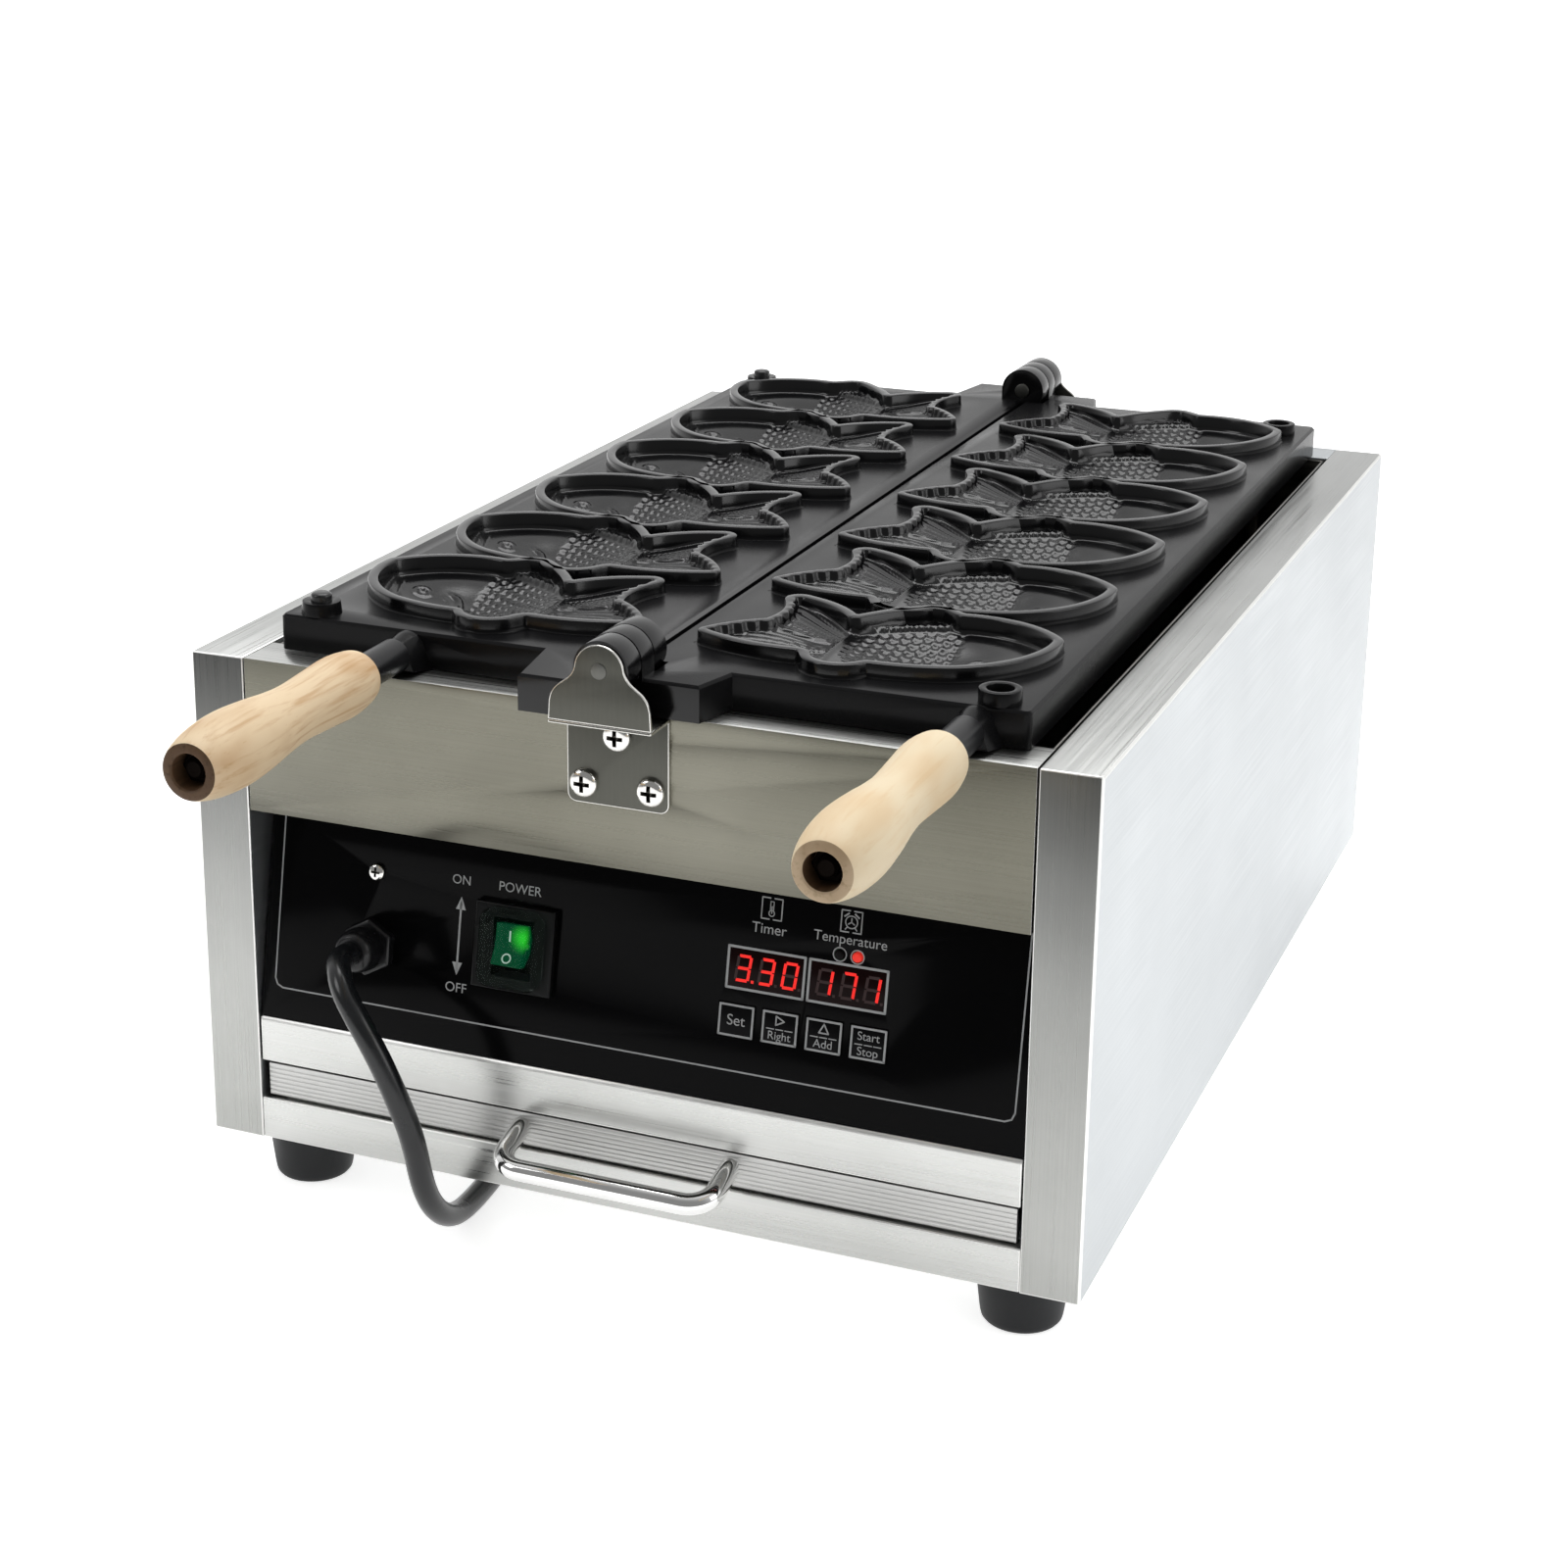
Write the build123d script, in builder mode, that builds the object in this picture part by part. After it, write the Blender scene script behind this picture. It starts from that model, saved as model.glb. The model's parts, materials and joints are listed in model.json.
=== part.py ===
"""Taiyaki maker: a stainless counter-top machine with two hinged moulds of six fish each.

Millimetres. +X is the right side seen from the front, -Y is the front, +Z is up.
The origin is at the middle of the footprint, at floor level.
Each separate physical piece is one part, written to parts/<name>.step.
"""
import os
from math import acos, atan2, cos, degrees, hypot, pi, radians, sin, tan

from build123d import *

os.makedirs("parts", exist_ok=True)

# ---------------------------------------------------------------- driving sizes
BODY_W = 400.0          # cabinet over the side panels
BODY_D = 570.0          # cabinet from front face to back face
BODY_H = 223.3          # cabinet without its feet
FOOT_H = 28.0
SHEET = 1.2             # stainless sheet
POST_W = 25.3           # width of the side panels' front and top flanges
INNER_W = BODY_W - 2 * POST_W   # front pieces between the side panels

FRONT = -219.0          # front face of the cabinet
BACK = FRONT + BODY_D
MID_Y = (FRONT + BACK) / 2
BASE = FOOT_H
TOP = BASE + BODY_H

HINGE_Z = BASE + 245.0  # hinge axis, which is also the plane where the moulds meet
PLATE_TOP = BASE + 239.0
PLATE_BOTTOM = TOP + 0.3
PLATE_OUT = 165.8       # outer edge of each mould, from the middle
PLATE_IN = 1.5          # inner edge of each mould
PLATE_FRONT = FRONT + 17.0
PLATE_BACK = BACK - 17.0
RIM_TOP = HINGE_Z - 0.15
FIN_FLOOR = BASE + 238.5   # cavity floor under fins and tail
BODY_FLOOR = BASE + 233.0
BELLY_FLOOR = BASE + 228.5
CUP_BOTTOM = BASE + 224.3
PLATE_T = 9.0           # plate under the rims

FISH_COUNT = 6
FISH_PITCH = 83.0
FISH_X = 83.0           # middle of a fish, from the middle of the machine
FISH_Y = FRONT + 75.0   # middle of the front fish
RIM_HALF = 2.3          # half the width of the rim round a fish

KNUCKLE_R = 12.0
PIN_R = 4.0
SPIGOT_R = 3.4          # end of a hinge pin, held in the ear of its bracket
LUG_FRONT = 17.2        # how far the left lug stands out in front of the cabinet
EAR_OUT = 19.0
BRACKET_SCREWS = ((0.0, BASE + 212.5), (-14.8, BASE + 191.0), (14.8, BASE + 191.0))
SCREW_HOLE_R = 3.1

GRIP_X = {"left": -104.6, "right": 143.6}
GRIP_Z = BASE + 231.4
GRIP_TIP = FRONT - 151.0
GRIP_END = FRONT - 24.0

PANEL_FOOT_Y = FRONT + 1.5      # control panel leans back from its lower edge
PANEL_FOOT_Z = BASE + 59.0
PANEL_LEAN = degrees(atan2(19.0, 95.0))
PANEL_LONG = 94.0
PANEL_T = 1.5

CORD_R = 5.2

# control panel: X runs across it, Y up along it, Z out of it
panel_face = Plane(
    origin=(0, PANEL_FOOT_Y, PANEL_FOOT_Z),
    x_dir=(1, 0, 0),
    z_dir=(0, -cos(radians(PANEL_LEAN)), sin(radians(PANEL_LEAN))),
)


def save(builder, name):
    """Names a finished piece and writes it to its own file."""
    builder.part.label = name
    export_step(builder.part, f"parts/{name}.step")


def cross_plane(y):
    """A plane across the machine at y, drawn as seen from the front: X right, Y up."""
    return Plane(origin=(0, y, 0), x_dir=(1, 0, 0), z_dir=(0, -1, 0))


def outer_rim(builder, direction):
    """The edges of the face that lies furthest out along a direction."""
    return builder.faces().sort_by(Axis((0, 0, 0), direction))[-1].edges()


def bracket_holes(face_y):
    """The three screw holes of a hinge bracket, drawn on the cabinet face at y."""
    with BuildSketch(cross_plane(face_y)) as holes:
        with Locations(*BRACKET_SCREWS):
            Circle(SCREW_HOLE_R)
    return holes.sketch


# ---------------------------------------------------------------- side panels
# A folded pan with box-shaped posts at the front and back, open inwards between them.
POST_D = 26.0
PAN_LIP = 12.0
for side, sign in (("left", -1), ("right", 1)):
    with BuildPart() as side_panel:
        with Locations((sign * (BODY_W - POST_W) / 2, MID_Y, BASE)):
            Box(POST_W, BODY_D, BODY_H, align=(Align.CENTER, Align.CENTER, Align.MIN))
        outer_edges = side_panel.edges().filter_by(
            lambda e: abs(e.center().X - sign * BODY_W / 2) < 0.1
        )
        fillet(outer_edges, 1.5)
        with Locations((sign * (BODY_W - POST_W) / 2, MID_Y, BASE + BODY_H / 2)):
            Box(
                POST_W - 2 * SHEET,
                BODY_D - 2 * SHEET,
                BODY_H - 2 * SHEET,
                mode=Mode.SUBTRACT,
            )
        with Locations((sign * (BODY_W / 2 - POST_W), MID_Y, BASE + BODY_H / 2)):
            Box(
                4 * SHEET,
                BODY_D - 2 * POST_D,
                BODY_H - 2 * PAN_LIP,
                mode=Mode.SUBTRACT,
            )
    save(side_panel, f"{side}_side_panel")

# ---------------------------------------------------------------- base pan
# Floor sheet, turned up at the front as the base rail and at the back.
BASE_RAIL = 19.4
with BuildPart() as base_pan:
    with BuildSketch(Plane.YZ.offset(-INNER_W / 2)):
        with Locations((MID_Y, BASE + SHEET / 2)):
            Rectangle(BODY_D - 1.0, SHEET)
        with Locations((FRONT + 0.5 + SHEET / 2, BASE + BASE_RAIL / 2)):
            Rectangle(SHEET, BASE_RAIL)
        with Locations((FRONT + 0.5 + 4.0, BASE + BASE_RAIL - SHEET / 2)):
            Rectangle(8.0, SHEET)
        with Locations((BACK - 0.5 - SHEET / 2, BASE + BASE_RAIL / 2)):
            Rectangle(SHEET, BASE_RAIL)
    extrude(amount=INNER_W)
save(base_pan, "base_pan")

# ---------------------------------------------------------------- feet
FOOT_TOP_R = 20.5
FOOT_LOW_R = 17.0
for side, sx in (("left", -1), ("right", 1)):
    for end, foot_y in (("front", FRONT + 31.0), ("back", BACK - 31.0)):
        with BuildPart() as foot:
            with BuildSketch(Plane.XZ.offset(-foot_y)):
                with BuildLine():
                    Polyline(
                        (sx * 167.5, 0),
                        (sx * 167.5 + FOOT_LOW_R - 4, 0),
                        (sx * 167.5 + FOOT_LOW_R - 0.8, 1.4),
                        (sx * 167.5 + FOOT_LOW_R + 0.4, 4.5),
                        (sx * 167.5 + FOOT_TOP_R, FOOT_H),
                        (sx * 167.5, FOOT_H),
                        close=True,
                    )
                make_face()
            revolve(axis=Axis((sx * 167.5, foot_y, 0), (0, 0, 1)))
        save(foot, f"{end}_{side}_foot")

# ---------------------------------------------------------------- upper front panel
# Front wall with a deep top flange that carries the moulds and a flange under the overhang.
UPPER_LOW = BASE + 152.0
with BuildPart() as upper_front_panel:
    with BuildSketch(Plane.YZ.offset(-INNER_W / 2)):
        with Locations((FRONT + SHEET / 2, (UPPER_LOW + TOP) / 2)):
            Rectangle(SHEET, TOP - UPPER_LOW)
        with Locations((FRONT + 12.0, TOP - SHEET / 2)):
            Rectangle(24.0, SHEET)
        with Locations((FRONT + 11.5, UPPER_LOW + SHEET / 2)):
            Rectangle(23.0, SHEET)
    extrude(amount=INNER_W)
    extrude(bracket_holes(FRONT), amount=6.0, both=True, mode=Mode.SUBTRACT)
save(upper_front_panel, "upper_front_panel")

# ---------------------------------------------------------------- lower front rail
# A channel with its upper edge sloped back to meet the control panel.
RAIL_LOW = BASE + 37.5
with BuildPart() as lower_front_rail:
    with BuildSketch(Plane.YZ.offset(-INNER_W / 2)):
        with BuildLine():
            Polyline(
                (FRONT + 0.5, RAIL_LOW),
                (FRONT + 0.5, BASE + 57.0),
                (FRONT + 1.5, BASE + 58.6),
                (FRONT + 16.0, BASE + 58.6),
                (FRONT + 16.0, BASE + 57.4),
                (FRONT + 1.7, BASE + 57.4),
                (FRONT + 1.7, RAIL_LOW + 1.2),
                (FRONT + 13.0, RAIL_LOW + 1.2),
                (FRONT + 13.0, RAIL_LOW),
                close=True,
            )
        make_face()
    extrude(amount=INNER_W)
save(lower_front_rail, "lower_front_rail")

# ---------------------------------------------------------------- rear panel
with BuildPart() as rear_panel:
    with BuildSketch(Plane.YZ.offset(-INNER_W / 2)):
        with Locations((BACK - SHEET / 2, (BASE + BASE_RAIL + 0.6 + TOP) / 2)):
            Rectangle(SHEET, TOP - BASE - BASE_RAIL - 0.6)
        with Locations((BACK - 12.0, TOP - SHEET / 2)):
            Rectangle(24.0, SHEET)
    extrude(amount=INNER_W)
    extrude(bracket_holes(BACK), amount=6.0, both=True, mode=Mode.SUBTRACT)
save(rear_panel, "rear_panel")

# ---------------------------------------------------------------- heater chamber
# A reflector pan hung by its lips under the front and rear flanges, open under the moulds.
CHAMBER_FLOOR = BASE + 180.0
CHAMBER_FRONT = FRONT + 24.4
CHAMBER_BACK = BACK - 24.4
CHAMBER_W = 346.0
CHAMBER_LIP = 9.0
with BuildPart() as heater_chamber:
    with Locations((0, (CHAMBER_FRONT + CHAMBER_BACK) / 2, CHAMBER_FLOOR)):
        Box(
            CHAMBER_W,
            CHAMBER_BACK - CHAMBER_FRONT,
            TOP - SHEET - CHAMBER_FLOOR,
            align=(Align.CENTER, Align.CENTER, Align.MIN),
        )
    with Locations((0, (CHAMBER_FRONT + CHAMBER_BACK) / 2, TOP - 1.5 * SHEET)):
        Box(CHAMBER_W, CHAMBER_BACK - CHAMBER_FRONT + 2 * CHAMBER_LIP, SHEET)
    with Locations((0, (CHAMBER_FRONT + CHAMBER_BACK) / 2, CHAMBER_FLOOR + SHEET)):
        Box(
            CHAMBER_W - 2 * SHEET,
            CHAMBER_BACK - CHAMBER_FRONT - 2 * SHEET,
            TOP - CHAMBER_FLOOR,
            align=(Align.CENTER, Align.CENTER, Align.MIN),
            mode=Mode.SUBTRACT,
        )
save(heater_chamber, "heater_chamber")

# ---------------------------------------------------------------- heating elements
# One steel-sheathed tube under each mould: three long legs joined by round bends.
ELEMENT_R = 4.0
ELEMENT_Z = BASE + 206.0
LEG_FRONT = FRONT + 60.0
LEG_BACK = BACK - 60.0
for side, sx in (("left", -1), ("right", 1)):
    with BuildPart() as heating_element:
        with BuildLine():
            FilletPolyline(
                (sx * 26, LEG_FRONT, CHAMBER_FLOOR + SHEET),
                (sx * 26, LEG_FRONT, ELEMENT_Z),
                (sx * 26, LEG_BACK, ELEMENT_Z),
                (sx * 84, LEG_BACK, ELEMENT_Z),
                (sx * 84, LEG_FRONT + 12, ELEMENT_Z),
                (sx * 142, LEG_FRONT + 12, ELEMENT_Z),
                (sx * 142, LEG_BACK, ELEMENT_Z),
                (sx * 142, LEG_BACK, CHAMBER_FLOOR + SHEET),
                radius=11.0,
            )
        with BuildSketch(Plane.XY.offset(CHAMBER_FLOOR + SHEET)):
            with Locations((sx * 26, LEG_FRONT)):
                Circle(ELEMENT_R)
        sweep()
    save(heating_element, f"{side}_heating_element")

# ---------------------------------------------------------------- hinge brackets
# A screwed foot plate, a shelf folded forward and a bell-shaped ear folded up.
EAR_T = 1.5
EAR_LOW = BASE + 222.5
EAR_TOP_R = 10.2
for end, face_y, out in (("front", FRONT, -1), ("back", BACK, 1)):
    with BuildPart() as hinge_bracket:
        with Locations((0, face_y + out * 0.75, BASE + 202.3)):
            Box(45.0, EAR_T, 40.4)
        plate_corners = hinge_bracket.edges().filter_by(Axis.Y).group_by(Axis.Z)[0]
        fillet(plate_corners, 4.0)
        with Locations((0, face_y + out * EAR_OUT / 2, EAR_LOW - 0.75)):
            Box(45.0, EAR_OUT, EAR_T)
        with BuildSketch(cross_plane(face_y + out * EAR_OUT)):
            with BuildLine():
                ear_top = ThreePointArc(
                    (-EAR_TOP_R * cos(radians(10)), HINGE_Z + EAR_TOP_R * sin(radians(10))),
                    (0, HINGE_Z + EAR_TOP_R),
                    (EAR_TOP_R * cos(radians(10)), HINGE_Z + EAR_TOP_R * sin(radians(10))),
                )
                right_side = Spline(
                    ear_top @ 1,
                    (16.5, HINGE_Z - 7.5),
                    (22.0, HINGE_Z - 14.5),
                )
                right_foot = Line(right_side @ 1, (22.5, EAR_LOW))
                left_side = Spline(
                    ear_top @ 0,
                    (-16.5, HINGE_Z - 7.5),
                    (-22.0, HINGE_Z - 14.5),
                )
                left_foot = Line(left_side @ 1, (-22.5, EAR_LOW))
                Line(right_foot @ 1, left_foot @ 1)
            make_face()
        extrude(amount=out * EAR_T)
        with Locations(Location((0, face_y + out * EAR_OUT, HINGE_Z), (90, 0, 0))):
            Cylinder(SPIGOT_R, 8.0, mode=Mode.SUBTRACT)
        extrude(bracket_holes(face_y), amount=6.0, both=True, mode=Mode.SUBTRACT)
    save(hinge_bracket, f"{end}_hinge_bracket")


# ---------------------------------------------------------------- hinge pins
# Each pin runs through the knuckles of both moulds and is riveted into the ear of its bracket.
PIN_REACH = 22.0
for end, face_y, out in (("front", FRONT, -1), ("back", BACK, 1)):
    with BuildPart() as hinge_pin:
        with BuildSketch(cross_plane(face_y + out * (EAR_OUT - EAR_T))):
            with Locations((0, HINGE_Z)):
                Circle(PIN_R)
        extrude(amount=out * (PIN_REACH + EAR_OUT - EAR_T))
        with BuildSketch(cross_plane(face_y + out * (EAR_OUT - EAR_T))):
            with Locations((0, HINGE_Z)):
                Circle(SPIGOT_R - 0.02)
        extrude(amount=-out * (EAR_T + 0.4))
    save(hinge_pin, f"{end}_hinge_pin")


# ---------------------------------------------------------------- cross-head screws
def pan_screw(name, seat, head_r, head_h, shank_r, shank_l):
    """A pan-head screw: head on the seat plane, shank into it, cross recess in the head."""
    with BuildPart() as screw:
        with BuildSketch(seat):
            Circle(head_r)
        extrude(amount=head_h)
        fillet(outer_rim(screw, seat.z_dir), head_h * 0.6)
        with BuildSketch(seat.offset(head_h)):
            Rectangle(head_r * 1.15, head_r * 0.24)
            Rectangle(head_r * 0.24, head_r * 1.15)
        extrude(amount=-head_h * 0.5, mode=Mode.SUBTRACT)
        with BuildSketch(seat):
            Circle(shank_r)
        extrude(amount=-shank_l)
    save(screw, name)


for end, face_y, out in (("front", FRONT, -1), ("back", BACK, 1)):
    for count, (screw_x, screw_z) in enumerate(BRACKET_SCREWS, start=1):
        bracket_seat = Plane(
            origin=(screw_x, face_y + out * EAR_T, screw_z), x_dir=(1, 0, 0), z_dir=(0, out, 0)
        )
        pan_screw(f"{end}_bracket_screw_{count}", bracket_seat, 6.2, 3.4, 2.9, 9.0)


# ---------------------------------------------------------------- fish outline
# Middle line of the rim round one fish of the left mould, nose outwards and tail at the hinge.
with BuildLine() as fish_curves:
    back = ThreePointArc((17.0, 17.5), (4.0, 35.0), (-6.8, 45.0))
    dorsal = ThreePointArc(back @ 1, (-12.0, 46.2), (-17.0, 43.6))
    nape = Line(dorsal @ 1, (-23.5, 38.8))
    brow = ThreePointArc(nape @ 1, (-48.0, 37.2), (-71.0, 20.0))
    nose = Line(brow @ 1, (-71.0, 12.0))
    throat = ThreePointArc(nose @ 1, (-62.0, -14.0), (-42.0, -32.0))
    belly = ThreePointArc(throat @ 1, (-25.0, -37.0), (-8.0, -38.2))
    pelvic = ThreePointArc(belly @ 1, (3.5, -46.7), (18.5, -36.8))
    root = Line(pelvic @ 1, (21.5, -33.0))
    tail_low = ThreePointArc(root @ 1, (45.0, -32.4), (69.0, -24.0))
    lobe = ThreePointArc(tail_low @ 1, (59.5, -9.5), (48.5, 0.0))
    fork = ThreePointArc(lobe @ 1, (46.4, 14.0), (52.6, 34.0))
    tail_tip = ThreePointArc(fork @ 1, (50.5, 38.2), (44.5, 37.8))
    tail_top = ThreePointArc(tail_tip @ 1, (29.5, 30.4), back @ 0)

# the six fish are cut with straight facets, a few to each curve
facets = []
for curve, count in (
    (back, 4),
    (dorsal, 4),
    (nape, 1),
    (brow, 6),
    (nose, 1),
    (throat, 5),
    (belly, 3),
    (pelvic, 6),
    (root, 1),
    (tail_low, 4),
    (lobe, 4),
    (fork, 4),
    (tail_tip, 3),
    (tail_top, 4),
):
    facets += [curve @ (n / count) for n in range(count)]

with BuildSketch() as fish_outline:
    with BuildLine():
        Polyline(*facets, close=True)
    make_face()


def fish_face(grow):
    """The fish outline moved outwards by grow, or inwards if it is negative."""
    return offset(fish_outline.sketch, grow, kind=Kind.INTERSECTION, mode=Mode.PRIVATE)


fish_row = [
    Location((-FISH_X, FISH_Y + FISH_PITCH * n, 0)) for n in range(FISH_COUNT)
]
body_row = [spot * Location((-27.0, 1.0, 0)) for spot in fish_row]
oval = [(cos(radians(a)), sin(radians(a))) for a in range(0, 360, 18)]


def oval_face(long, short):
    """A faceted oval, for the body pocket of a fish and the cup under it."""
    with BuildSketch() as face:
        with BuildLine():
            Polyline(*[(long * x, short * y) for x, y in oval], close=True)
        make_face()
    return face.sketch


BOSS_R = 7.8
BOSS_FOOT = 11.5
BOSS_LONG = 12.0
boss_high = GRIP_Z - PLATE_BOTTOM
# angle up the arch at which its straight sides touch it
BOSS_SPRING = degrees(acos(BOSS_R / hypot(BOSS_FOOT, boss_high)) - atan2(boss_high, BOSS_FOOT))

LOCATOR_X = 150.5
LOCATOR_Y = (FRONT + 26.0, FRONT + 529.0)
LOCATOR_R = 8.7
LOCATING_PIN_R = 4.5
LOCATING_DEPTH = 9.0
SOCKET_R = 5.5

body_pocket = oval_face(38.0, 29.0)
belly_pocket = oval_face(31.0, 22.0)
body_cup = oval_face(43.0, 34.0)
GILL_HIGH = 2.2
RAY_HIGH = 1.5
RAY_SIZE = (24.0, 2.4)
RAY_MIDDLE_U = 37.0
TAIL_RAYS = ((24.0, 19.0), (4.0, 1.5), (-8.0, -17.0))   # angle, and v of its middle


def knuckle_spans(side):
    """Front ends and lengths of a mould's hinge knuckles, from the cabinet's front face."""
    if side == "left":
        return ((-LUG_FRONT, 12.3), (8.6, 11.9))
    return ((-3.9, 11.7),)


def mould(side):
    """One mould, drawn as the left one: top plate, skirt, fish cups with rims, lugs and knuckles."""
    lug_front = FRONT + knuckle_spans(side)[0][0]
    other_spans = knuckle_spans("right" if side == "left" else "left")
    boss_x = -abs(GRIP_X[side])
    with BuildPart() as casting:
        # plate with a lug at each end of the hinge side
        with BuildSketch(Plane.XY.offset(PLATE_BOTTOM)):
            with BuildLine():
                Polyline(
                    (-PLATE_OUT, MID_Y),
                    (-PLATE_OUT, PLATE_FRONT),
                    (-42.0, PLATE_FRONT),
                    (-36.5, lug_front),
                    (-PLATE_IN, lug_front),
                    (-PLATE_IN, MID_Y),
                    close=True,
                )
            make_face()
            mirror(about=Plane.XZ.offset(-MID_Y))
        extrude(amount=PLATE_TOP - PLATE_BOTTOM)
        fillet(casting.edges().filter_by(Axis.Z).group_by(Axis.X)[0], 3.0)
        chamfer(casting.faces().sort_by(Axis.Z)[-1].edges(), 1.2)
        # handle boss, an arch that runs down tangent to a wider foot
        with BuildSketch(Plane.XZ.offset(-PLATE_FRONT)):
            with BuildLine():
                crown = CenterArc((boss_x, GRIP_Z), BOSS_R, BOSS_SPRING, 180 - 2 * BOSS_SPRING)
                Polyline(
                    crown @ 1,
                    (boss_x - BOSS_FOOT, PLATE_BOTTOM),
                    (boss_x + BOSS_FOOT, PLATE_BOTTOM),
                    crown @ 0,
                )
            make_face()
        extrude(amount=BOSS_LONG, taper=8)
        # hinge knuckles at both ends, and gaps for the other mould's knuckles
        for start, length in knuckle_spans(side):
            for end in (1, -1):
                with BuildSketch(Plane.XZ.offset(-MID_Y + end * (MID_Y - FRONT - start))):
                    with Locations((0, HINGE_Z)):
                        Circle(KNUCKLE_R)
                    with Locations((-KNUCKLE_R / 2, (HINGE_Z + PLATE_BOTTOM) / 2)):
                        Rectangle(KNUCKLE_R, HINGE_Z - PLATE_BOTTOM)
                extrude(amount=-end * length)
        for start, length in other_spans:
            for end in (1, -1):
                gap_y = MID_Y - end * (MID_Y - FRONT - start - length / 2)
                with Locations((0, gap_y, HINGE_Z)):
                    Box(
                        2 * KNUCKLE_R + 1.2,
                        length + 0.9,
                        2 * (HINGE_Z - PLATE_BOTTOM) + 2,
                        mode=Mode.SUBTRACT,
                    )
        for end in (1, -1):
            with BuildSketch(Plane.XZ.offset(-MID_Y + end * (MID_Y - FRONT + 30.0))):
                with Locations((0, HINGE_Z)):
                    Circle(PIN_R + 0.05)
            extrude(amount=-end * 60.0, mode=Mode.SUBTRACT)
        # hollow underside, open downwards
        with BuildSketch(Plane.XY.offset(PLATE_BOTTOM)):
            with Locations((-(PLATE_OUT + PLATE_IN) / 2, MID_Y)):
                Rectangle(PLATE_OUT - PLATE_IN - 16.0, PLATE_BACK - PLATE_FRONT - 16.0)
        extrude(amount=PLATE_TOP - PLATE_BOTTOM - PLATE_T, mode=Mode.SUBTRACT)
        # seats of the two locating pins
        if side == "left":
            with BuildSketch(Plane.XY.offset(PLATE_TOP)):
                with Locations(*[(-LOCATOR_X, y) for y in LOCATOR_Y]):
                    Circle(LOCATOR_R)
            extrude(amount=HINGE_Z - 0.5 - PLATE_TOP, taper=6)
            with BuildSketch(Plane.XY.offset(HINGE_Z)):
                with Locations(*[(-LOCATOR_X, y) for y in LOCATOR_Y]):
                    Circle(LOCATING_PIN_R + 0.03)
            extrude(amount=-LOCATING_DEPTH, mode=Mode.SUBTRACT)
        # oval cups that carry the fish bodies below the plate
        with BuildSketch(Plane.XY.offset(PLATE_TOP - PLATE_T)):
            with Locations(*body_row):
                add(body_cup)
        extrude(amount=CUP_BOTTOM - PLATE_TOP + PLATE_T, taper=12)
        # rims standing on the plate
        with BuildSketch(Plane.XY.offset(PLATE_TOP)):
            with Locations(*fish_row):
                add(fish_face(RIM_HALF))
        extrude(amount=RIM_TOP - PLATE_TOP)
        # fish cavities with drafted walls, deeper under the body than under the tail
        with BuildSketch(Plane.XY.offset(RIM_TOP)):
            with Locations(*fish_row):
                add(fish_face(-RIM_HALF))
        extrude(amount=FIN_FLOOR - RIM_TOP, taper=6, mode=Mode.SUBTRACT)
        with BuildSketch(Plane.XY.offset(FIN_FLOOR)):
            with Locations(*body_row):
                add(body_pocket)
        extrude(amount=BODY_FLOOR - FIN_FLOOR, taper=35, mode=Mode.SUBTRACT)
        with BuildSketch(Plane.XY.offset(BODY_FLOOR)):
            with Locations(*body_row):
                add(belly_pocket)
        extrude(amount=BELLY_FLOOR - BODY_FLOOR, taper=45, mode=Mode.SUBTRACT)
        # raised lines that press the gill and the tail rays into the cake
        with BuildSketch(Plane.XY.offset(BELLY_FLOOR)):
            with Locations(*fish_row):
                with BuildLine():
                    gill = ThreePointArc((-38.0, 19.0), (-31.0, 2.0), (-38.0, -16.0))
                    Line(gill @ 1, (-41.0, -14.0))
                    ThreePointArc((-41.0, -14.0), (-34.5, 2.0), (-41.0, 17.0))
                    Line((-41.0, 17.0), gill @ 0)
                make_face()
        extrude(amount=GILL_HIGH)
        with BuildSketch(Plane.XY.offset(FIN_FLOOR)):
            for angle, ray_v in TAIL_RAYS:
                with Locations(*[spot * Location((RAY_MIDDLE_U, ray_v, 0)) for spot in fish_row]):
                    Rectangle(*RAY_SIZE, rotation=angle)
        extrude(amount=RAY_HIGH)
    return casting


with BuildPart() as left_mould:
    add(mould("left").part)
save(left_mould, "left_mould")

with BuildPart() as right_mould:
    mirror(mould("right").part, about=Plane.YZ)
save(right_mould, "right_mould")

# ---------------------------------------------------------------- locating pins and sockets
for end, y in zip(("front", "back"), LOCATOR_Y):
    with BuildPart() as locating_pin:
        with BuildSketch(Plane.XY.offset(HINGE_Z - LOCATING_DEPTH)):
            with Locations((-LOCATOR_X, y)):
                Circle(LOCATING_PIN_R)
        extrude(amount=LOCATING_DEPTH + 3.0)
        chamfer(locating_pin.faces().sort_by(Axis.Z)[-1].edges(), 1.2)
    save(locating_pin, f"{end}_locating_pin")

    with BuildPart() as locating_socket:
        with BuildSketch(Plane.XY.offset(PLATE_TOP)):
            with Locations((LOCATOR_X, y)):
                Circle(LOCATOR_R)
                Circle(SOCKET_R, mode=Mode.SUBTRACT)
        extrude(amount=HINGE_Z - 0.3 - PLATE_TOP)
        chamfer(locating_socket.edges().group_by(Axis.Z)[-1], 0.8)
    save(locating_socket, f"{end}_locating_socket")

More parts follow.
